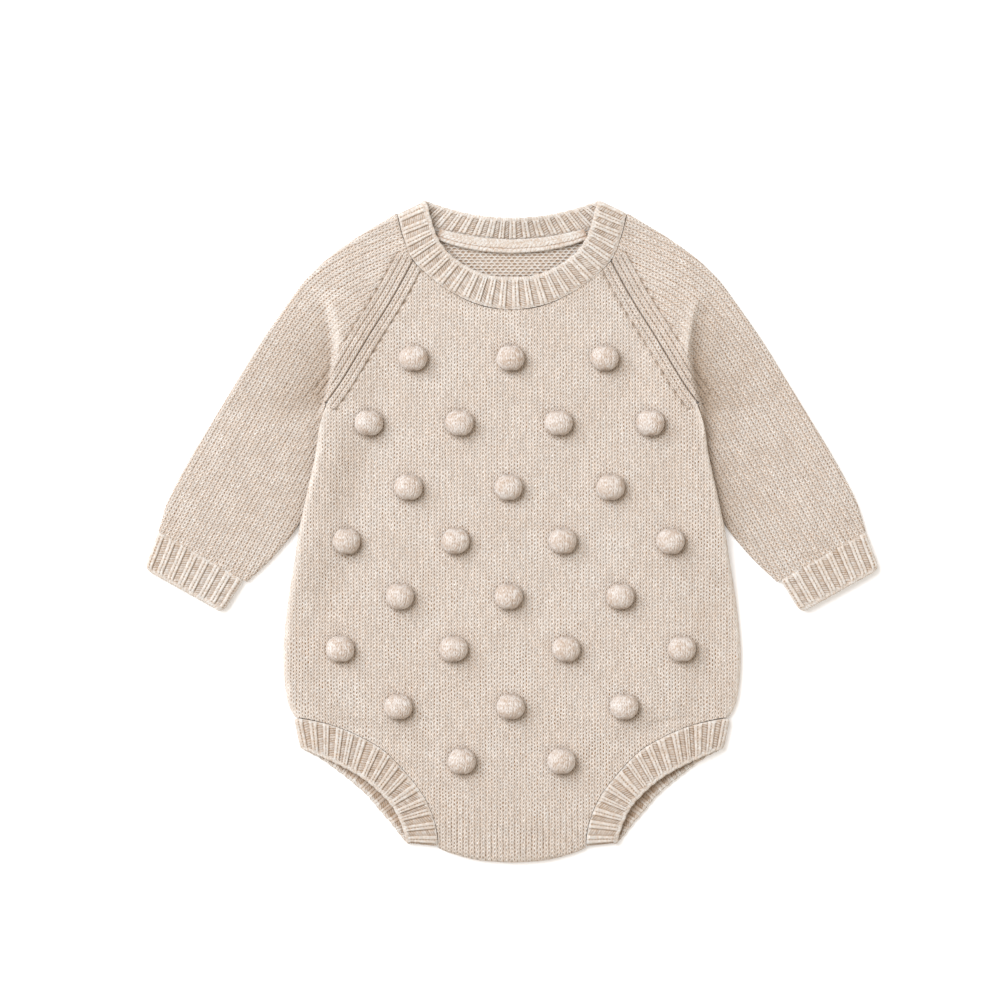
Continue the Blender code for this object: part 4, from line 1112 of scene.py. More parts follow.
def rib_ring(name, sections, pitch, materials, mirror=False, columns=16, rows=29, scallop=0.35):
    """A ribbed band, knitted or picked up along the first line and cast off along the second."""
    piece = Piece(name)
    seam = spline([q[:3] for q in sections], True, 24)
    free = spline([q[3:] for q in sections], True, 24)
    arc = np.concatenate([[0], np.cumsum(np.linalg.norm(np.diff((seam + free) / 2, axis=0), axis=1))])
    count = int(round(arc[-1] / pitch))
    n = count * columns
    # no two stitches are quite as wide
    rng = np.random.default_rng(len(name) + count)
    even = np.arange(n) / n
    uneven = sum(rng.uniform(0.6, 1.0) * a / count * np.sin(2 * math.pi * (k * even + rng.uniform())) for k, a in ((7, 0.10), (12, 0.06), (21, 0.03)))
    at = (even + uneven - uneven[0]) * arc[-1]
    seam = np.stack([np.interp(at, arc, seam[:, k]) for k in range(3)], -1)
    free = np.stack([np.interp(at, arc, free[:, k]) for k in range(3)], -1)
    phase = np.arange(n) / columns
    width = free - seam
    unit = width / np.linalg.norm(width, axis=1)[:, None]
    crest = 0.5 + 0.5 * np.cos(2 * math.pi * (phase - KNIT / 2))
    seam = seam + unit * SEAM_GAP
    free = free + unit * (scallop * (crest - 0.6))[:, None]
    width = free - seam
    long = np.linalg.norm(width, axis=1)[:, None]
    normal = np.cross(np.roll(seam + free, -1, 0) - np.roll(seam + free, 1, 0), width)
    for _ in range(5):
        normal /= np.linalg.norm(normal, axis=1)[:, None]
        normal = np.roll(normal, 1, 0) + 2 * normal + np.roll(normal, -1, 0)
    normal /= np.linalg.norm(normal, axis=1)[:, None]
    k = np.concatenate([np.linspace(0, 1, rows + 1)[:-1], [0.975, 0.992, 0.9985]])
    P, K = np.meshgrid(phase, k, indexing="ij")
    from_seam, from_edge = K * long, (1 - K) * long
    course = K * long / 1.75
    thick = round_end(from_edge, 1.3)
    # the ribs start a little unevenly
    late = 0.3 + 0.8 * np.interp(phase, np.arange(count + 1), rng.uniform(-1, 1, count + 1))[:, None]
    plain = rib_plain(from_seam - late, from_edge)
    start = 0.40 * (1 - smooth(from_seam / 1.6))
    base = seam[:, None] + K[..., None] * width[:, None]
    dotted = (0.5 - 0.5 * np.cos(4 * math.pi * P)) ** 2
    knots = np.exp(-((from_seam / 0.45) ** 2)) * (0.3 + 0.7 * dotted) + 0.6 * np.exp(-(((from_seam - 1.5) / 0.4) ** 2)) * dotted
    # the leg bands' lower layers get painted shade, where they lie in the shade of the upper ones
    leg = name.startswith("leg")
    under = 0.50 * (1 - smooth((base[..., 2] - 1.6) / 1.0)) if leg else 0.0
    tone = 0.20 if leg else 0.04
    skins = []
    for turn in (0.0, 0.5):
        height = rib_relief(P + turn, course, plain) - start
        height = height * (1 - 1.2 * under)
        sign = 1 if turn == 0 else -1
        skin = base + sign * normal[:, None] * (thick * (RIB_WALL / 2 + height))[..., None]
        skin[..., 2] = np.maximum(skin[..., 2], 0.0)
        dark = rib_shade(P + turn, plain) + (0.4 if leg else 0.9) * knots + under + tone
        skins.append((piece.put(skin.reshape(-1, 3), np.clip(dark, -1, 1).ravel()) + np.arange(P.size).reshape(P.shape), np.stack([P + turn, course], -1)))
    (a, ka), (b, kb) = ((np.concatenate([g, g[:1]]), np.concatenate([c, c[:1] + (count, 0)])) for g, c in skins)
    piece.grid(a, ka, (0.0, 0.0, 1.0, 0.46), rows=6)
    piece.grid(b, kb, (0.0, 0.47, 1.0, 0.93), rows=6, flip=True)
    ends = lambda k: (np.stack([a[:, k], b[:, k]], 1), np.stack([ka[:, k], kb[:, k]], 1))
    piece.grid(*ends(0), (0.0, 0.94, 1.0, 0.965), rows=2, flip=True)
    piece.grid(*ends(-1), (0.0, 0.97, 1.0, 1.0), rows=2)
    return piece.make(materials, mirror)


def round_end(d, radius):
    return np.sqrt(np.clip(1 - (1 - np.clip(d / radius, 0, 1)) ** 2, 0, 1))


def full_ring(half):
    back = [Section(-s.seam_x, s.seam_y, s.seam_z, -s.free_x, s.free_y, s.free_z) for s in half[-2:0:-1]]
    return half + back


def make_cuff(name, materials, mirror):
    """A flattened ribbed tube."""
    outer, inner = spline(CUFF_OUTER, False, 12), spline(CUFF_INNER, False, 12)
    at = lambda line, t: along(line, t * lengths(line)[-1])
    piece = Piece(name)
    rows = 34
    t = np.concatenate([np.linspace(0, 1, rows + 1)[:-1], [0.975, 0.992, 0.9985]])
    o, i = at(outer, t), at(inner, t)
    mid_wall = RIB_WALL / 2
    level = 2 * RIB_WALL + 0.4
    loops = []
    count = 15
    columns = 16
    n = count * columns
    for oo, ii in zip(o, i):
        w = np.linalg.norm(ii - oo)
        unit = (ii - oo) / w
        r = 1.35
        theta = np.linspace(0, math.pi / 2, 10)
        # half section from the outer fold over the top to the inner fold, at the middle of the wall
        x = np.concatenate([mid_wall + r * (1 - np.cos(theta)), np.linspace(mid_wall + r, w - mid_wall - r, 40)[1:-1], w - mid_wall - r * (1 - np.cos(theta[::-1]))])
        h = (level / 2 - mid_wall) * np.concatenate([np.sin(theta), np.ones(38), np.sin(theta[::-1])])
        puff = 0.3 * (4 * (x / w) * (1 - x / w)) ** 1.5
        top = np.column_stack([x, level / 2 + h + puff])
        low = np.column_stack([x, level / 2 - h])[::-1][1:-1]
        loop = np.concatenate([top, low, top[:1]])
        s = lengths(loop)
        q = np.stack([np.interp(np.arange(n) / n * s[-1], s, loop[:, k]) for k in range(2)], -1)
        d = np.roll(q, -1, 0) - np.roll(q, 1, 0)
        d /= np.linalg.norm(d, axis=1)[:, None]
        nrm = np.stack([-d[:, 1], d[:, 0]], -1)
        P = np.column_stack([oo + q[:, :1] * unit, q[:, 1]])
        N = np.column_stack([nrm[:, :1] * unit, nrm[:, 1]])
        loops.append((P, N))
    P = np.array([p for p, _ in loops]).transpose(1, 0, 2)
    N = np.array([q for _, q in loops]).transpose(1, 0, 2)
    along_mm = lengths((o + i) / 2)
    phase = np.arange(n) / columns
    PH, K = np.meshgrid(phase, along_mm, indexing="ij")
    total = along_mm[-1]
    course = K / 1.75
    body = round_end(total + 0.03 - K, 1.3)
    # the ribs start a little unevenly
    late = 0.3 + 0.8 * np.sin(2.1 * np.floor(phase) + 1.0)[:, None]
    plain = rib_plain(K - late, total - K)
    start = 0.45 * (1 - smooth(K / 1.8))
    out, inn = rib_relief(PH, course, plain) - start, rib_relief(PH + 0.5, course, plain) - start
    knots = np.exp(-(((K - 0.3) / 0.5) ** 2)) * (0.5 - 0.5 * np.cos(4 * math.pi * PH)) ** 2
    # painted shade in the purl troughs, and dark knots along the seam
    shade = rib_shade(PH, plain) + 0.5 * knots + 0.05
    # the hem's edge swings out a little at each knit wale
    crest = 0.5 + 0.5 * np.cos(2 * math.pi * (phase - KNIT / 2))
    hem = (along_mm / total) ** 6
    direction = P[:, -1] - P[:, -2]
    direction /= np.linalg.norm(direction, axis=1)[:, None]
    P = P + direction[:, None] * (0.35 * (crest[:, None] - 0.6) * hem[None])[..., None]
    outer_p = P + N * ((mid_wall + out) * body)[..., None]
    inner_p = P - N * (np.minimum(mid_wall + inn, 1.1) * body)[..., None]
    outer_p[..., 2] = np.maximum(outer_p[..., 2], 0.0)
    dark_out = np.clip(shade, -1, 1)
    m = len(t)
    a = piece.put(outer_p.reshape(-1, 3), dark_out.ravel()) + np.arange(n * m).reshape(n, m)
    # the inside of the tube is painted in shade all over
    b = piece.put(inner_p.reshape(-1, 3), np.full(n * m, 0.3)) + np.arange(n * m).reshape(n, m)
    ko = np.stack([PH, course], -1)
    ki = np.stack([PH + 0.5, course], -1)
    step = np.array([float(count), 0.0])
    a_, b_ = np.concatenate([a, a[:1]]), np.concatenate([b, b[:1]])
    ko, ki = np.concatenate([ko, ko[:1] + step]), np.concatenate([ki, ki[:1] + step])
    piece.grid(a_, ko, (0.0, 0.0, 1.0, 0.6), rows=2)
    piece.grid(b_, ki, (0.0, 0.61, 1.0, 0.93), rows=2, flip=True)
    piece.grid(np.stack([a_[:, 0], b_[:, 0]], 1), np.stack([ko[:, 0], ki[:, 0]], 1), (0.0, 0.94, 1.0, 0.965), flip=True)
    piece.grid(np.stack([a_[:, -1], b_[:, -1]], 1), np.stack([ko[:, -1], ki[:, -1]], 1), (0.0, 0.97, 1.0, 1.0))
    return piece.make(materials, mirror)


# --- tape ---------------------------------------------------------------------------------------
def make_tape(materials):
    piece = Piece("tape_knit")
    low = spline([s[:2] for s in NECK_TAPE], False, 12)
    high = spline([s[3:5] for s in NECK_TAPE], False, 12)
    share = lambda p: along(p, np.linspace(0, 1, 150) * lengths(p)[-1])
    low, high = share(low), share(high)
    low = np.concatenate([low[:0:-1] * (-1, 1), low])
    high = np.concatenate([high[:0:-1] * (-1, 1), high])
    n = len(low)
    arc = lengths((low + high) / 2)
    k = np.concatenate([[0, 0.015, 0.05], np.linspace(0.09, 0.91, 24), [0.95, 0.985, 1.0]])
    S, K = np.meshgrid(arc, k, indexing="ij")
    xy = low[:, None] + K[..., None] * (high - low)[:, None]
    rounding = np.sqrt(np.clip(1 - (1 - np.clip(np.minimum(K, 1 - K) / 0.12, 0, 1)) ** 2, 0, 1))
    # a cord of slanting stitches along the lower edge, and a broad plait above it
    cord = K < 0.33
    wobble = 0.25 * np.sin(S * 0.9) + 0.18 * np.sin(S * 2.3 + 1.0)
    lean = np.where(cord, S / 2.8 - 1.1 * K, S / 2.45 + 2.8 * np.abs(K - 0.665)) + 0.20 * wobble
    near_line = np.abs(lean % 1.0 - 0.5) * 2
    stroke = np.exp(-(((1 - near_line) / 0.34) ** 2)) * (0.7 + 0.3 * np.sin(S * 2.9 + 7 * K))
    scallop = 0.33 + 0.02 * np.cos(2 * math.pi * S / 3.0)
    groove = np.exp(-(((K - scallop) / 0.035) ** 2))
    top = 2.9 + 2.0 * (0.35 + 0.65 * rounding) - 0.30 * stroke * rounding - 0.6 * groove
    top = np.where(cord, top + 0.1, top - 0.12 * np.exp(-(((K - 0.665) / 0.05) ** 2)))
    # its ends get a painted shadow, where they lie in the shade of the neckband
    ends = np.exp(-((S / 2.6) ** 2)) + np.exp(-(((arc[-1] - S) / 2.6) ** 2))
    # painted shade along the strokes and in the groove between cord and plait
    dark = np.clip(0.38 * stroke + 0.60 * groove + 0.62 * ends + 0.05, 0, 0.9)
    bottom = 2.9 + 0.5 * (1 - rounding)
    a = piece.put(np.concatenate([xy, top[..., None]], -1).reshape(-1, 3), dark.ravel()) + np.arange(n * len(k)).reshape(n, -1)
    b = piece.put(np.concatenate([xy, bottom[..., None]], -1).reshape(-1, 3)) + np.arange(n * len(k)).reshape(n, -1)
    knit = np.stack([S / 2.4, K * 3], -1)
    piece.grid(a, knit, (0.0, 0.0, 1.0, 0.5), rows=3, flip=True)
    piece.grid(b, knit, (0.0, 0.51, 1.0, 0.9), rows=3)
    piece.grid(np.stack([a[:, 0], b[:, 0]], 1), np.stack([knit[:, 0]] * 2, 1), (0.0, 0.91, 1.0, 0.93))
    piece.grid(np.stack([a[:, -1], b[:, -1]], 1), np.stack([knit[:, -1]] * 2, 1), (0.0, 0.94, 1.0, 0.96), flip=True)
    piece.grid(np.stack([a[0], b[0]], 1), np.stack([knit[0]] * 2, 1), (0.0, 0.97, 0.45, 1.0), flip=True)
    piece.grid(np.stack([a[-1], b[-1]], 1), np.stack([knit[-1]] * 2, 1), (0.5, 0.97, 0.95, 1.0))
    return piece.make(materials)


# --- bobbles ------------------------------------------------------------------------------------
def make_bobble(node, seed, materials):
    low, high = (np.array(c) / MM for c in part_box(node))
    cx, cy = (low[:2] + high[:2]) / 2
    cy -= CENTRING
    rng = np.random.default_rng(100 + seed)
    rx, ry = 8.5 * rng.uniform(0.98, 1.01), 8.0 * rng.uniform(0.98, 1.01)
    tall = 9.3
    foot = low[2] + 0.15
    e = 1.5
    h = front_top(np.array([cx - e, cx + e, cx, cx]), np.array([cy, cy, cy - e, cy + e]))
    slope = np.array([(h[1] - h[0]) / (2 * e), (h[3] - h[2]) / (2 * e)])
    around, up = 56, 30
    profile = spline([(0.60, -0.01), (0.80, 0.03), (0.96, 0.15), (1.0, 0.31), (0.965, 0.49), (0.86, 0.67), (0.66, 0.84), (0.38, 0.955), (0.12, 0.998), (0.0, 1.0)], False, 6)
    profile = along(profile, np.linspace(0, 1, up) * lengths(profile)[-1])
    angle = 2 * math.pi * np.arange(around) / around
    A, J = np.meshgrid(angle, np.arange(up), indexing="ij")
    r, z = profile[J, 0], profile[J, 1]
    r_super = 1 + 0.012 * np.cos(2 * A + rng.uniform(0, 6)) + 0.010 * np.cos(3 * A + rng.uniform(0, 6))
    x, y, z = rx * r * np.cos(A) * r_super, ry * r * np.sin(A) * r_super, tall * z
    # wales run up and over the ball from its lower to its upper pole, and lean a little
    lean = rng.uniform(-0.10, 0.10)
    lon = np.arctan2(x + lean * y, np.maximum(z - 2.6, 0.2))
    u = lon * 6.6 / 3.05 + rng.uniform(0, 1)
    v = y / 2.3 + rng.uniform(0, 1)
    c = np.cos(2 * math.pi * u)
    pole = smooth((ry * 1.02 - np.abs(y)) / 3.0)
    parting = np.maximum(-c, 0) ** 2
    relief = -(0.30 * parting + 0.08 * np.maximum(c, 0) ** 2 * (0.5 + 0.5 * np.cos(2 * math.pi * v))) * pole
    # the loops are drawn together at both poles
    pull = -0.35 * np.exp(-(((np.abs(y) - ry * 0.97) / 1.2) ** 2)) * np.exp(-((x / 2.4) ** 2))
    scale = 1 + (relief + pull) / 8.0
    x, y, z = x * scale, y * scale, 2.6 + (z - 2.6) * scale
    z = np.maximum(z, 0.0) + slope[0] * x + slope[1] * y
    # painted shade low on the ball where it meets the cloth, in the partings between its wales, and where the loops are
    # drawn in at the poles
    dark = np.clip(0.8 * smooth((2.4 - z) / 2.4) + 0.20 * parting * pole * (0.6 + 0.4 * np.sin(3.1 * v)) - pull * 1.0, 0, 1)
    piece = Piece("knitted_" + node)
    ring_points = np.stack([x + cx, y + cy, z + foot], -1)
    a = piece.put(ring_points[:, :-1].reshape(-1, 3), dark[:, :-1].ravel()) + np.arange(around * (up - 1)).reshape(around, -1)
    tip = piece.put(np.array([[cx, cy, ring_points[0, -1, 2]]]))
    # the middle of the underside is painted full shade
    base = piece.put(np.array([[cx, cy, foot]]), np.ones(1))
    knit = np.stack([u, v], -1)[:, :-1]
    a_, k_ = np.concatenate([a, a[:1]]), np.concatenate([knit, knit[:1]])
    # bake map: seen from above, with the lower part spread outwards
    spread = np.where(J < np.argmax(profile[:, 0]), 1 + (np.argmax(profile[:, 0]) - J) * 0.035, r)
    disc = 0.5 + 0.38 * np.stack([spread * np.cos(A), spread * np.sin(A)], -1)
    d_ = np.concatenate([disc, disc[:1]])
    i, j = np.meshgrid(np.arange(around), np.arange(up - 2), indexing="ij")
    i, j = i.ravel(), j.ravel()
    q = [(i, j), (i + 1, j), (i + 1, j + 1), (i, j + 1)]
    for tri in ((0, 1, 2), (0, 2, 3)):
        piece.tris(
            np.stack([a_[q[t]] for t in tri], -1), np.stack([k_[q[t]] for t in tri], 1), np.stack([d_[q[t]] for t in tri], 1),
        )
    i = np.arange(around)
    last = up - 2
    cap = np.stack([a_[i, last], a_[i + 1, last], np.full(around, tip)], -1)
    ck = np.stack([k_[i, last], k_[i + 1, last], np.repeat(k_[:1, last], around, 0) * 0 + knit[:, last].mean(0)], 1)
    cb = np.stack([d_[i, last], d_[i + 1, last], np.full((around, 2), 0.5)], 1)
    piece.tris(cap, ck, cb)
    bottom = np.stack([a_[i + 1, 0], a_[i, 0], np.full(around, base)], -1)
    bb = 0.045 + 0.04 * np.stack([np.stack([np.cos(angle[(i + 1) % around]), np.sin(angle[(i + 1) % around])], -1), np.stack([np.cos(angle), np.sin(angle)], -1), np.zeros((around, 2))], 1)
    piece.tris(bottom, np.zeros((around, 3, 2)), bb)
    return piece.make(materials)


# --- materials ----------------------------------------------------------------------------------
class Tree:
    """A material's nodes, by short calls."""

    def __init__(self, name, roughness, sheen, colour):
        self.material = bpy.data.materials.new(name)
        self.material.use_nodes = True
        self.tree = self.material.node_tree
        self.shader = self.tree.nodes["Principled BSDF"]
        self.shader.inputs["Roughness"].default_value = roughness
        self.shader.inputs["Specular IOR Level"].default_value = 0.25
        self.shader.inputs["Sheen Weight"].default_value = sheen
        self.shader.inputs["Sheen Roughness"].default_value = 0.6
        self.shader.inputs["Sheen Tint"].default_value = (1.0, 0.96, 0.92, 1.0)
        self.material.diffuse_color = (*colour, 1)

    def node(self, kind, **settings):
        node = self.tree.nodes.new(kind)
        for key, value in settings.items():
            setattr(node, key, value)
        return node

    def link(self, value, socket):
        if isinstance(value, bpy.types.NodeSocket):
            self.tree.links.new(value, socket)
        else:
            socket.default_value = value

    def math(self, operation, *values, clamp=False):
        node = self.node("ShaderNodeMath", operation=operation, use_clamp=clamp)
        for value, socket in zip(values, node.inputs):
            self.link(value, socket)
        return node.outputs[0]

    def add(self, a, b):
        return self.math("ADD", a, b)

    def sub(self, a, b):
        return self.math("SUBTRACT", a, b)

    def mul(self, a, b):
        return self.math("MULTIPLY", a, b)

    def step(self, value, low, high, to_low=0.0, to_high=1.0):
        node = self.node("ShaderNodeMapRange", interpolation_type="SMOOTHSTEP")
        self.link(value, node.inputs["Value"])
        node.inputs["From Min"].default_value, node.inputs["From Max"].default_value = low, high
        node.inputs["To Min"].default_value, node.inputs["To Max"].default_value = to_low, to_high
        return node.outputs["Result"]

    def vector(self, x, y, z=0.0):
        node = self.node("ShaderNodeCombineXYZ")
        for value, socket in zip((x, y, z), node.inputs):
            self.link(value, socket)
        return node.outputs[0]

    def noise(self, vector, scale, detail=2.0, roughness=0.55):
        node = self.node("ShaderNodeTexNoise", noise_dimensions="3D")
        self.link(vector, node.inputs["Vector"])
        node.inputs["Scale"].default_value = scale
        node.inputs["Detail"].default_value = detail
        node.inputs["Roughness"].default_value = roughness
        return node.outputs[0]

    def white(self, vector):
        node = self.node("ShaderNodeTexWhiteNoise", noise_dimensions="3D")
        self.link(vector, node.inputs["Vector"])
        return node.outputs[0]

    def mix(self, share, a, b, blend="MIX"):
        node = self.node("ShaderNodeMix", data_type="RGBA", blend_type=blend)
        self.link(share, node.inputs[0])
        for value, socket in ((a, node.inputs[6]), (b, node.inputs[7])):
            self.link((*value, 1.0) if isinstance(value, tuple) else value, socket)
        return node.outputs[2]

    def knit(self):
        uv = self.node("ShaderNodeUVMap", uv_map="Knit").outputs[0]
        split = self.node("ShaderNodeSeparateXYZ")
        self.link(uv, split.inputs[0])
        return split.outputs[0], split.outputs[1]

    def place(self):
        coords = self.node("ShaderNodeTexCoord").outputs["Object"]
        return coords

    def dark(self):
        return self.node("ShaderNodeAttribute", attribute_name="dark").outputs["Fac"]

    def bump(self, height, distance, strength=1.0):
        node = self.node("ShaderNodeBump")
        self.link(height, node.inputs["Height"])
        node.inputs["Distance"].default_value = distance
        node.inputs["Strength"].default_value = strength
        self.link(node.outputs[0], self.shader.inputs["Normal"])


LIGHT = (0.800, 0.790, 0.757)
MID = (0.655, 0.538, 0.436)
DEEP = (0.340, 0.166, 0.055)
SHADE = (0.280, 0.186, 0.108)
BROWN = (0.308, 0.176, 0.082)


def melange(t, u, v, place):
    """The yarn's own uneven colour, 0 to 1: fibres in two shades, flecks, and slow drift."""
    drift = t.noise(place, 26.0, 2.0)
    fleck = t.noise(place, 520.0, 2.0, 0.6)
    fibre = t.noise(t.vector(t.mul(u, 8.0), t.mul(v, 1.5), 0.0), 1.0, 2.0, 0.65)
    tone = t.add(t.mul(t.sub(drift, 0.5), 0.35), t.add(t.mul(t.sub(fleck, 0.5), 1.25), t.mul(t.sub(fibre, 0.5), 1.25)))
    return t.step(tone, -0.42, 0.38), fibre


def scale(t, colour, tone):
    node = t.node("ShaderNodeVectorMath", operation="SCALE")
    t.link(colour, node.inputs[0])
    t.link(tone, node.inputs["Scale"])
    return node.outputs[0]


def moved(t, vector, offset):
    node = t.node("ShaderNodeVectorMath", operation="ADD")
    t.link(vector, node.inputs[0])
    node.inputs[1].default_value = offset
    return node.outputs[0]


def wandering(t, u, v, place, across, along):
    """Knit coordinates pushed about a little, since no two stitches are alike."""
    a = t.noise(place, 330.0, 1.0)
    b = t.noise(moved(t, place, (3.1, 1.7, 0.4)), 300.0, 1.0)
    return t.add(u, t.mul(t.sub(a, 0.5), across)), t.add(v, t.mul(t.sub(b, 0.5), along))


def stitches(t, u, v):
    """Stockinette's face: (valley, hole, crest), each 0 to 1.

    The holes lie between the wales and up each wale's middle, half a course apart; the crest is
    along each leg of a stitch, rising three times as steeply as the wale is wide.
    """
    c = t.math("COSINE", t.mul(u, 2 * math.pi))
    cv = t.math("COSINE", t.mul(v, 2 * math.pi))
    valley = t.mul(c, c)
    hole = t.mul(t.math("POWER", valley, 1.3), t.add(0.5, t.mul(t.mul(c, cv), 0.5)))
    phase = t.sub(v, t.mul(t.math("PINGPONG", u, 0.5), 3.0))
    crest = t.sub(0.5, t.mul(t.math("COSINE", t.mul(phase, 2 * math.pi)), 0.5))
    return valley, hole, crest, phase


def stockinette(name, seed=0.0, parting=0.20, middles=0.78, wider=0.6):
    t = Tree(name, 0.92, 0.22, MID)
    u, v = t.knit()
    place = t.place()
    u, v = wandering(t, u, v, place, 0.26, 0.42)
    valley, hole, crest, phase = stitches(t, u, v)
    each = t.white(t.vector(t.math("FLOOR", t.mul(u, 2.0)), t.math("FLOOR", phase), seed))
    each_hole = t.white(t.vector(t.math("ROUND", t.mul(u, 2.0)), t.math("FLOOR", t.mul(v, 2.0)), seed + 3.0))
    # in places the holes stand out, in others the slant of the legs, with painted shade between the legs
    patch = t.step(t.noise(moved(t, place, (0.3, 0.9, 2.0)), 75.0, 2.0), 0.42, 0.64)
    share, fibre = melange(t, u, v, place)
    # where dark is below 0 the cloth is pulled smooth: its stitches fade and the colour lightens, a painted highlight
    dark = t.dark()
    stretch_highlight_keep = t.sub(1.0, t.math("MAXIMUM", t.mul(dark, -0.85), 0.0))
    stroke = t.add(0.5, t.mul(t.sub(t.step(crest, 0.10, 0.90), 0.5), stretch_highlight_keep))
    colour = t.mix(t.add(t.mul(share, 0.60), t.mul(stroke, 0.44)), MID, LIGHT)
    lean = t.mul(t.sub(1.0, crest), t.sub(1.0, t.mul(valley, 0.5)))
    colour = t.mix(t.mul(t.mul(lean, stretch_highlight_keep), t.sub(0.84, t.mul(patch, 0.40))), colour, tuple(0.55 * m + 0.45 * d for m, d in zip(MID, DEEP)))
    between = t.math("COSINE", t.mul(t.add(u, 0.5), 2 * math.pi))
    # and some columns of holes more than their neighbours, for a few rows
    column = t.noise(t.vector(t.mul(t.math("ROUND", t.mul(u, 2.0)), 7.31), t.mul(v, 0.13), seed), 1.0, 0.0)
    strength = t.add(0.05, t.add(t.mul(t.mul(each_hole, t.add(0.50, t.mul(patch, 0.50))), 0.68), t.mul(patch, 0.22)))
    strength = t.mul(strength, t.step(column, 0.25, 0.75, 0.45, 1.55))
    across, up, _ = t.node("ShaderNodeSeparateXYZ").outputs
    t.link(place, across.node.inputs[0])
    outer = t.step(t.math("ABSOLUTE", across), 0.075, 0.125)
    strength = t.mul(strength, t.add(1.0, t.mul(t.math("MAXIMUM", outer, t.step(up, -0.16, -0.03, 1.0, 0.0)), wider)))
    if middles < 1:
        strength = t.mul(strength, t.step(between, -0.5, 0.5, middles, 1.0))
    # the holes, and the partings between the wales, are darkened: painted shade in the stitches' hollows
    colour = t.mix(t.mul(t.step(hole, 0.30, 0.85), t.mul(strength, stretch_highlight_keep)), colour, DEEP)
    line = t.math("POWER", t.math("MAXIMUM", between, 0.0), 4.0)
    colour = t.mix(t.mul(t.mul(line, stretch_highlight_keep), parting), colour, DEEP)
    # dark above 0 mixes in SHADE: painted shade, with the fashioning marks
    colour = t.mix(t.mul(t.math("MAXIMUM", dark, 0.0), 0.72), colour, SHADE)
    # tone differs at random from leg to leg, and each leg's crest is a little lighter: a painted highlight
    colour = scale(t, colour, t.add(t.add(0.90, t.mul(each, 0.16)), t.mul(t.mul(crest, stretch_highlight_keep), 0.06)))
    t.link(colour, t.shader.inputs["Base Color"])
    relief = t.sub(t.add(t.mul(crest, 0.32), t.mul(fibre, 0.30)), t.add(t.mul(hole, 0.75), t.mul(valley, 0.15)))
    t.bump(t.mul(relief, stretch_highlight_keep), 0.0007, 0.95)
    return t.material


def rib(name, seed=0.0):
    """Rib: u counts a knit and a purl wale together, v counts the knit wale's stitches."""
    t = Tree(name, 0.92, 0.22, MID)
    u, v = t.knit()
    place = t.place()
    u, v = wandering(t, u, v, place, 0.07, 0.40)
    share, fibre = melange(t, t.mul(u, 2.2), t.mul(v, 0.8), place)
    dark = t.dark()
    plain, dark = t.math("MAXIMUM", t.mul(dark, -1.0), 0.0), t.math("MAXIMUM", dark, 0.0)
    stitched = t.sub(1.0, plain)
    p = t.math("FRACT", u)
    knit = t.sub(1.0, t.step(p, KNIT - 0.02, KNIT + 0.02))
    q = t.mul(p, 1 / KNIT)
    from_split = t.math("ABSOLUTE", t.sub(q, 0.5))
    rows = t.add(0.5, t.mul(t.math("COSINE", t.mul(v, 2 * math.pi)), 0.5))
    each = t.white(t.vector(t.math("FLOOR", t.mul(u, 2 / KNIT)), t.math("FLOOR", v), seed))
    split = t.mul(t.sub(1.0, t.step(from_split, 0.02, 0.13)), t.add(0.25, t.mul(rows, t.add(0.35, t.mul(each, 0.40)))))
    outer = t.mul(t.step(from_split, 0.43, 0.52), 0.40)
    # the ladder: slanting strands, with painted shade between them and at both sides
    r = t.mul(t.sub(p, KNIT), 1 / (1 - KNIT))
    side = t.math("ABSOLUTE", t.sub(r, 0.5))
    slant = t.add(t.mul(v, 1.2), t.add(t.mul(r, 1.1), t.mul(fibre, 0.5)))
    rung = t.sub(0.5, t.mul(t.math("COSINE", t.mul(slant, 2 * math.pi)), 0.5))
    odd = t.white(t.vector(t.math("FLOOR", u), t.math("FLOOR", slant), seed + 2.0))
    ladder = t.add(0.03, t.add(t.mul(t.sub(1.0, rung), t.add(0.27, t.mul(odd, 0.50))), t.mul(t.step(side, 0.26, 0.50), 0.31)))
    # painted shade in the split between the legs and at the knit wale's edges, and in the ladder
    deep = t.add(t.mul(knit, t.math("MAXIMUM", split, outer)), t.mul(t.sub(1.0, knit), ladder))
    colour = t.mix(share, MID, LIGHT)
    colour = t.mix(t.mul(deep, stitched), colour, BROWN)
    # the cast-off edge: soft strands side by side, with painted shade in the gaps
    strands = t.sub(0.5, t.mul(t.math("COSINE", t.mul(u, 8 * math.pi)), 0.5))
    gaps = t.mul(t.math("POWER", strands, 3.0), t.sub(0.5, t.mul(t.math("COSINE", t.mul(t.add(v, t.mul(each, 0.3)), 4 * math.pi)), 0.5)))
    colour = t.mix(t.mul(plain, t.add(t.mul(strands, 0.14), t.mul(gaps, 0.34))), colour, BROWN)
    # dark above 0: painted shade
    colour = t.mix(t.mul(dark, 0.74), colour, BROWN)
    colour = scale(t, colour, t.add(0.875, t.mul(each, 0.14)))
    t.link(colour, t.shader.inputs["Base Color"])
    relief = t.mul(t.sub(1.0, deep), stitched)
    t.bump(t.add(t.mul(relief, 0.75), t.mul(fibre, 0.40)), 0.0006, 0.85)
    return t.material


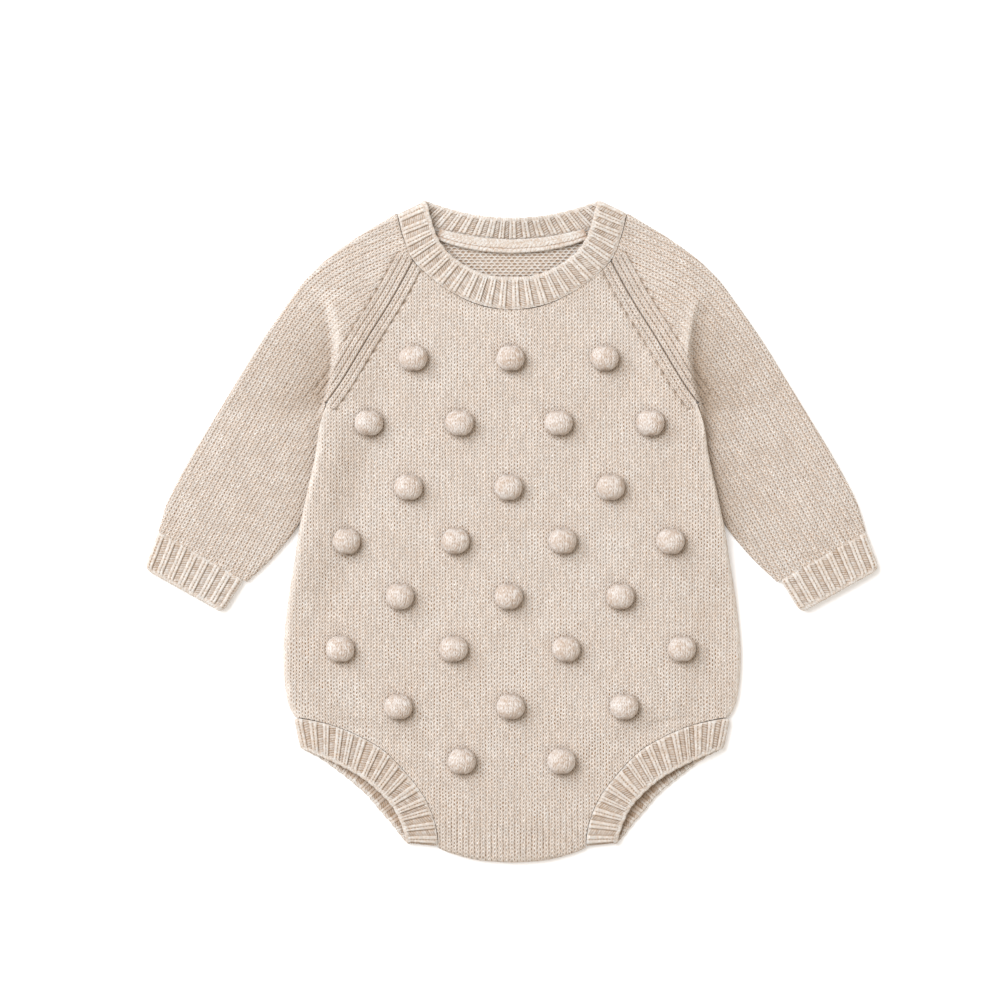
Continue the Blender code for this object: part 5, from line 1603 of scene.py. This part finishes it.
def purl_side(name):
    """The wrong side of the cloth, where its rows of arcs show."""
    t = Tree(name, 0.94, 0.2, MID)
    u, v = t.knit()
    place = t.place()
    u, v = wandering(t, u, v, place, 0.16, 0.20)
    share, fibre = melange(t, t.mul(v, 1.0), t.mul(u, 1.2), place)
    colour = t.mix(share, MID, LIGHT)
    row = t.math("FLOOR", v)
    wave = t.mul(t.mul(t.math("COSINE", t.mul(u, 2 * math.pi)), t.math("COSINE", t.mul(row, math.pi))), 0.20)
    off = t.math("ABSOLUTE", t.sub(t.sub(t.math("FRACT", v), 0.5), wave))
    gap = t.step(off, 0.14, 0.50)
    each = t.white(t.vector(t.math("ROUND", t.mul(u, 2.0)), row, 4.0))
    # painted shade in the gaps between the rows of arcs, and where the dark attribute is set
    colour = t.mix(t.mul(gap, t.add(0.45, t.mul(each, 0.38))), colour, BROWN)
    colour = t.mix(t.mul(t.dark(), 0.7), colour, BROWN)
    t.link(colour, t.shader.inputs["Base Color"])
    t.bump(t.sub(t.mul(fibre, 0.4), gap), 0.0005, 0.9)
    return t.material


def woolly(name, light, mid, stretch, knitted=1.0):
    """The bobbles and the tape: soft stitches drawn tight, with streaks of fibre along them."""
    t = Tree(name, 0.94, 0.3, mid)
    u, v = t.knit()
    place = t.place()
    drift = t.noise(place, 160.0, 2.0)
    streak = t.noise(t.vector(t.mul(u, stretch[0]), t.mul(v, stretch[1]), 0.0), 1.0, 2.0, 0.65)
    fleck = t.noise(place, 620.0, 2.0)
    tone = t.add(t.mul(t.sub(streak, 0.5), 1.7), t.add(t.mul(t.sub(fleck, 0.5), 1.1), t.mul(t.sub(drift, 0.5), 0.7)))
    colour = t.mix(t.step(tone, -0.36, 0.30), mid, light)
    valley, hole, crest, phase = stitches(t, u, v)
    # painted shade in the holes and between the legs, and where the dark attribute is set
    colour = t.mix(t.mul(hole, 0.20 * knitted), colour, DEEP)
    colour = t.mix(t.mul(t.sub(1.0, crest), 0.20 * knitted), colour, DEEP)
    colour = t.mix(t.mul(t.dark(), 0.75), colour, DEEP)
    t.link(colour, t.shader.inputs["Base Color"])
    t.bump(t.add(t.mul(t.sub(t.mul(crest, 0.35), t.mul(hole, 0.3)), knitted), t.mul(streak, 0.6)), 0.0005, 0.9)
    return t.material


# --- the garment --------------------------------------------------------------------------------
def build():
    face = stockinette("stockinette_face")
    arm = stockinette("stockinette_sleeves", 5.0, 0.38, 0.62, 0.0)
    outside_back = stockinette("stockinette_back", 9.0)
    wrong = purl_side("stockinette_wrong_side")
    ribbing = rib("rib_knit")
    tape = woolly("tape_knit", tuple(0.95 * c for c in LIGHT), tuple(0.90 * c for c in MID), (4.0, 3.0), 0.0)
    ball = woolly("bobble_knit", (0.830, 0.800, 0.765), (0.560, 0.445, 0.355), (5.0, 0.9))

    made = {}
    front = make_front([face])
    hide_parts("front_panel")
    made["front"] = front
    back = make_back([outside_back, wrong])
    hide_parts("back_panel")
    made["back"] = back
    for side, mirror in (("left", False), ("right", True)):
        sleeve = make_sleeve(f"sleeve_knit_{side}", [arm], mirror)
        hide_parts(f"sleeve_{side}")
        cuff = make_cuff(f"cuff_knit_{side}", [ribbing], mirror)
        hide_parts(f"cuff_{side}")
        band = rib_ring(f"leg_band_knit_{side}", LEG_BAND, LEG_RIB, [ribbing], mirror)
        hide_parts(f"leg_band_{side}")
        made[f"sleeve_{side}"], made[f"cuff_{side}"], made[f"band_{side}"] = sleeve, cuff, band
    neck = rib_ring("neckband_knit", full_ring(NECKBAND), RIB, [ribbing])
    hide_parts("neckband")
    made["neck"] = neck
    strip = make_tape([tape])
    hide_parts("neck_tape")
    made["tape"] = strip
    for number in range(1, 27):
        node = f"bobble_{number:02d}"
        bobble = make_bobble(node, number, [ball])
        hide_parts(node)
        made[node] = bobble
    for obj in made.values():
        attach(obj, "root")
    return made


# --- stage --------------------------------------------------------------------------------------
def studio():
    scene = bpy.context.scene
    mesh = bpy.data.meshes.new("floor")
    mesh.from_pydata([(-4, -4, 0), (4, -4, 0), (4, 4, 0), (-4, 4, 0)], [], [(0, 1, 2, 3)])
    floor = bpy.data.objects.new("floor", mesh)
    floor.location.z = -0.0004
    scene.collection.objects.link(floor)
    paper = bpy.data.materials.new("paper")
    paper.use_nodes = True
    shader = paper.node_tree.nodes["Principled BSDF"]
    shader.inputs["Base Color"].default_value = (0.93, 0.93, 0.93, 1)
    shader.inputs["Roughness"].default_value = 0.9
    shader.inputs["Specular IOR Level"].default_value = 0.1
    # a lit table, so the ground stays white around the cloth
    shader.inputs["Emission Color"].default_value = (1, 1, 1, 1)
    shader.inputs["Emission Strength"].default_value = 0.22
    mesh.materials.append(paper)

    world = bpy.data.worlds.new("studio")
    world.use_nodes = True
    world.node_tree.nodes["Background"].inputs[0].default_value = (1.0, 0.888, 0.755, 1)
    world.node_tree.nodes["Background"].inputs[1].default_value = 0.50
    scene.world = world

    def area(name, place, size, energy, colour=(1, 1, 1)):
        light = bpy.data.lights.new(name, "AREA")
        light.shape = "DISK"
        light.size = size
        light.energy = energy
        light.color = colour
        obj = bpy.data.objects.new(name, light)
        obj.location = place
        obj.rotation_euler = (-Vector(place)).to_track_quat("-Z", "Y").to_euler()
        scene.collection.objects.link(obj)

    area("key", (-2.3, 1.95, 3.6), 4.0, 258, (0.963, 1.003, 1.075))
    area("fill", (2.7, -2.7, 4.0), 3.6, 40)

    camera = bpy.data.cameras.new("camera")
    camera.sensor_width = 36
    camera.lens = 180
    camera.clip_end = 50
    obj = bpy.data.objects.new("camera", camera)
    obj.location = (-0.0072, 0.0186 + CENTRING * MM, 3.004)
    scene.collection.objects.link(obj)
    scene.camera = obj
    scene.view_settings.view_transform = "Standard"
    scene.view_settings.look = "None"


build()
studio()
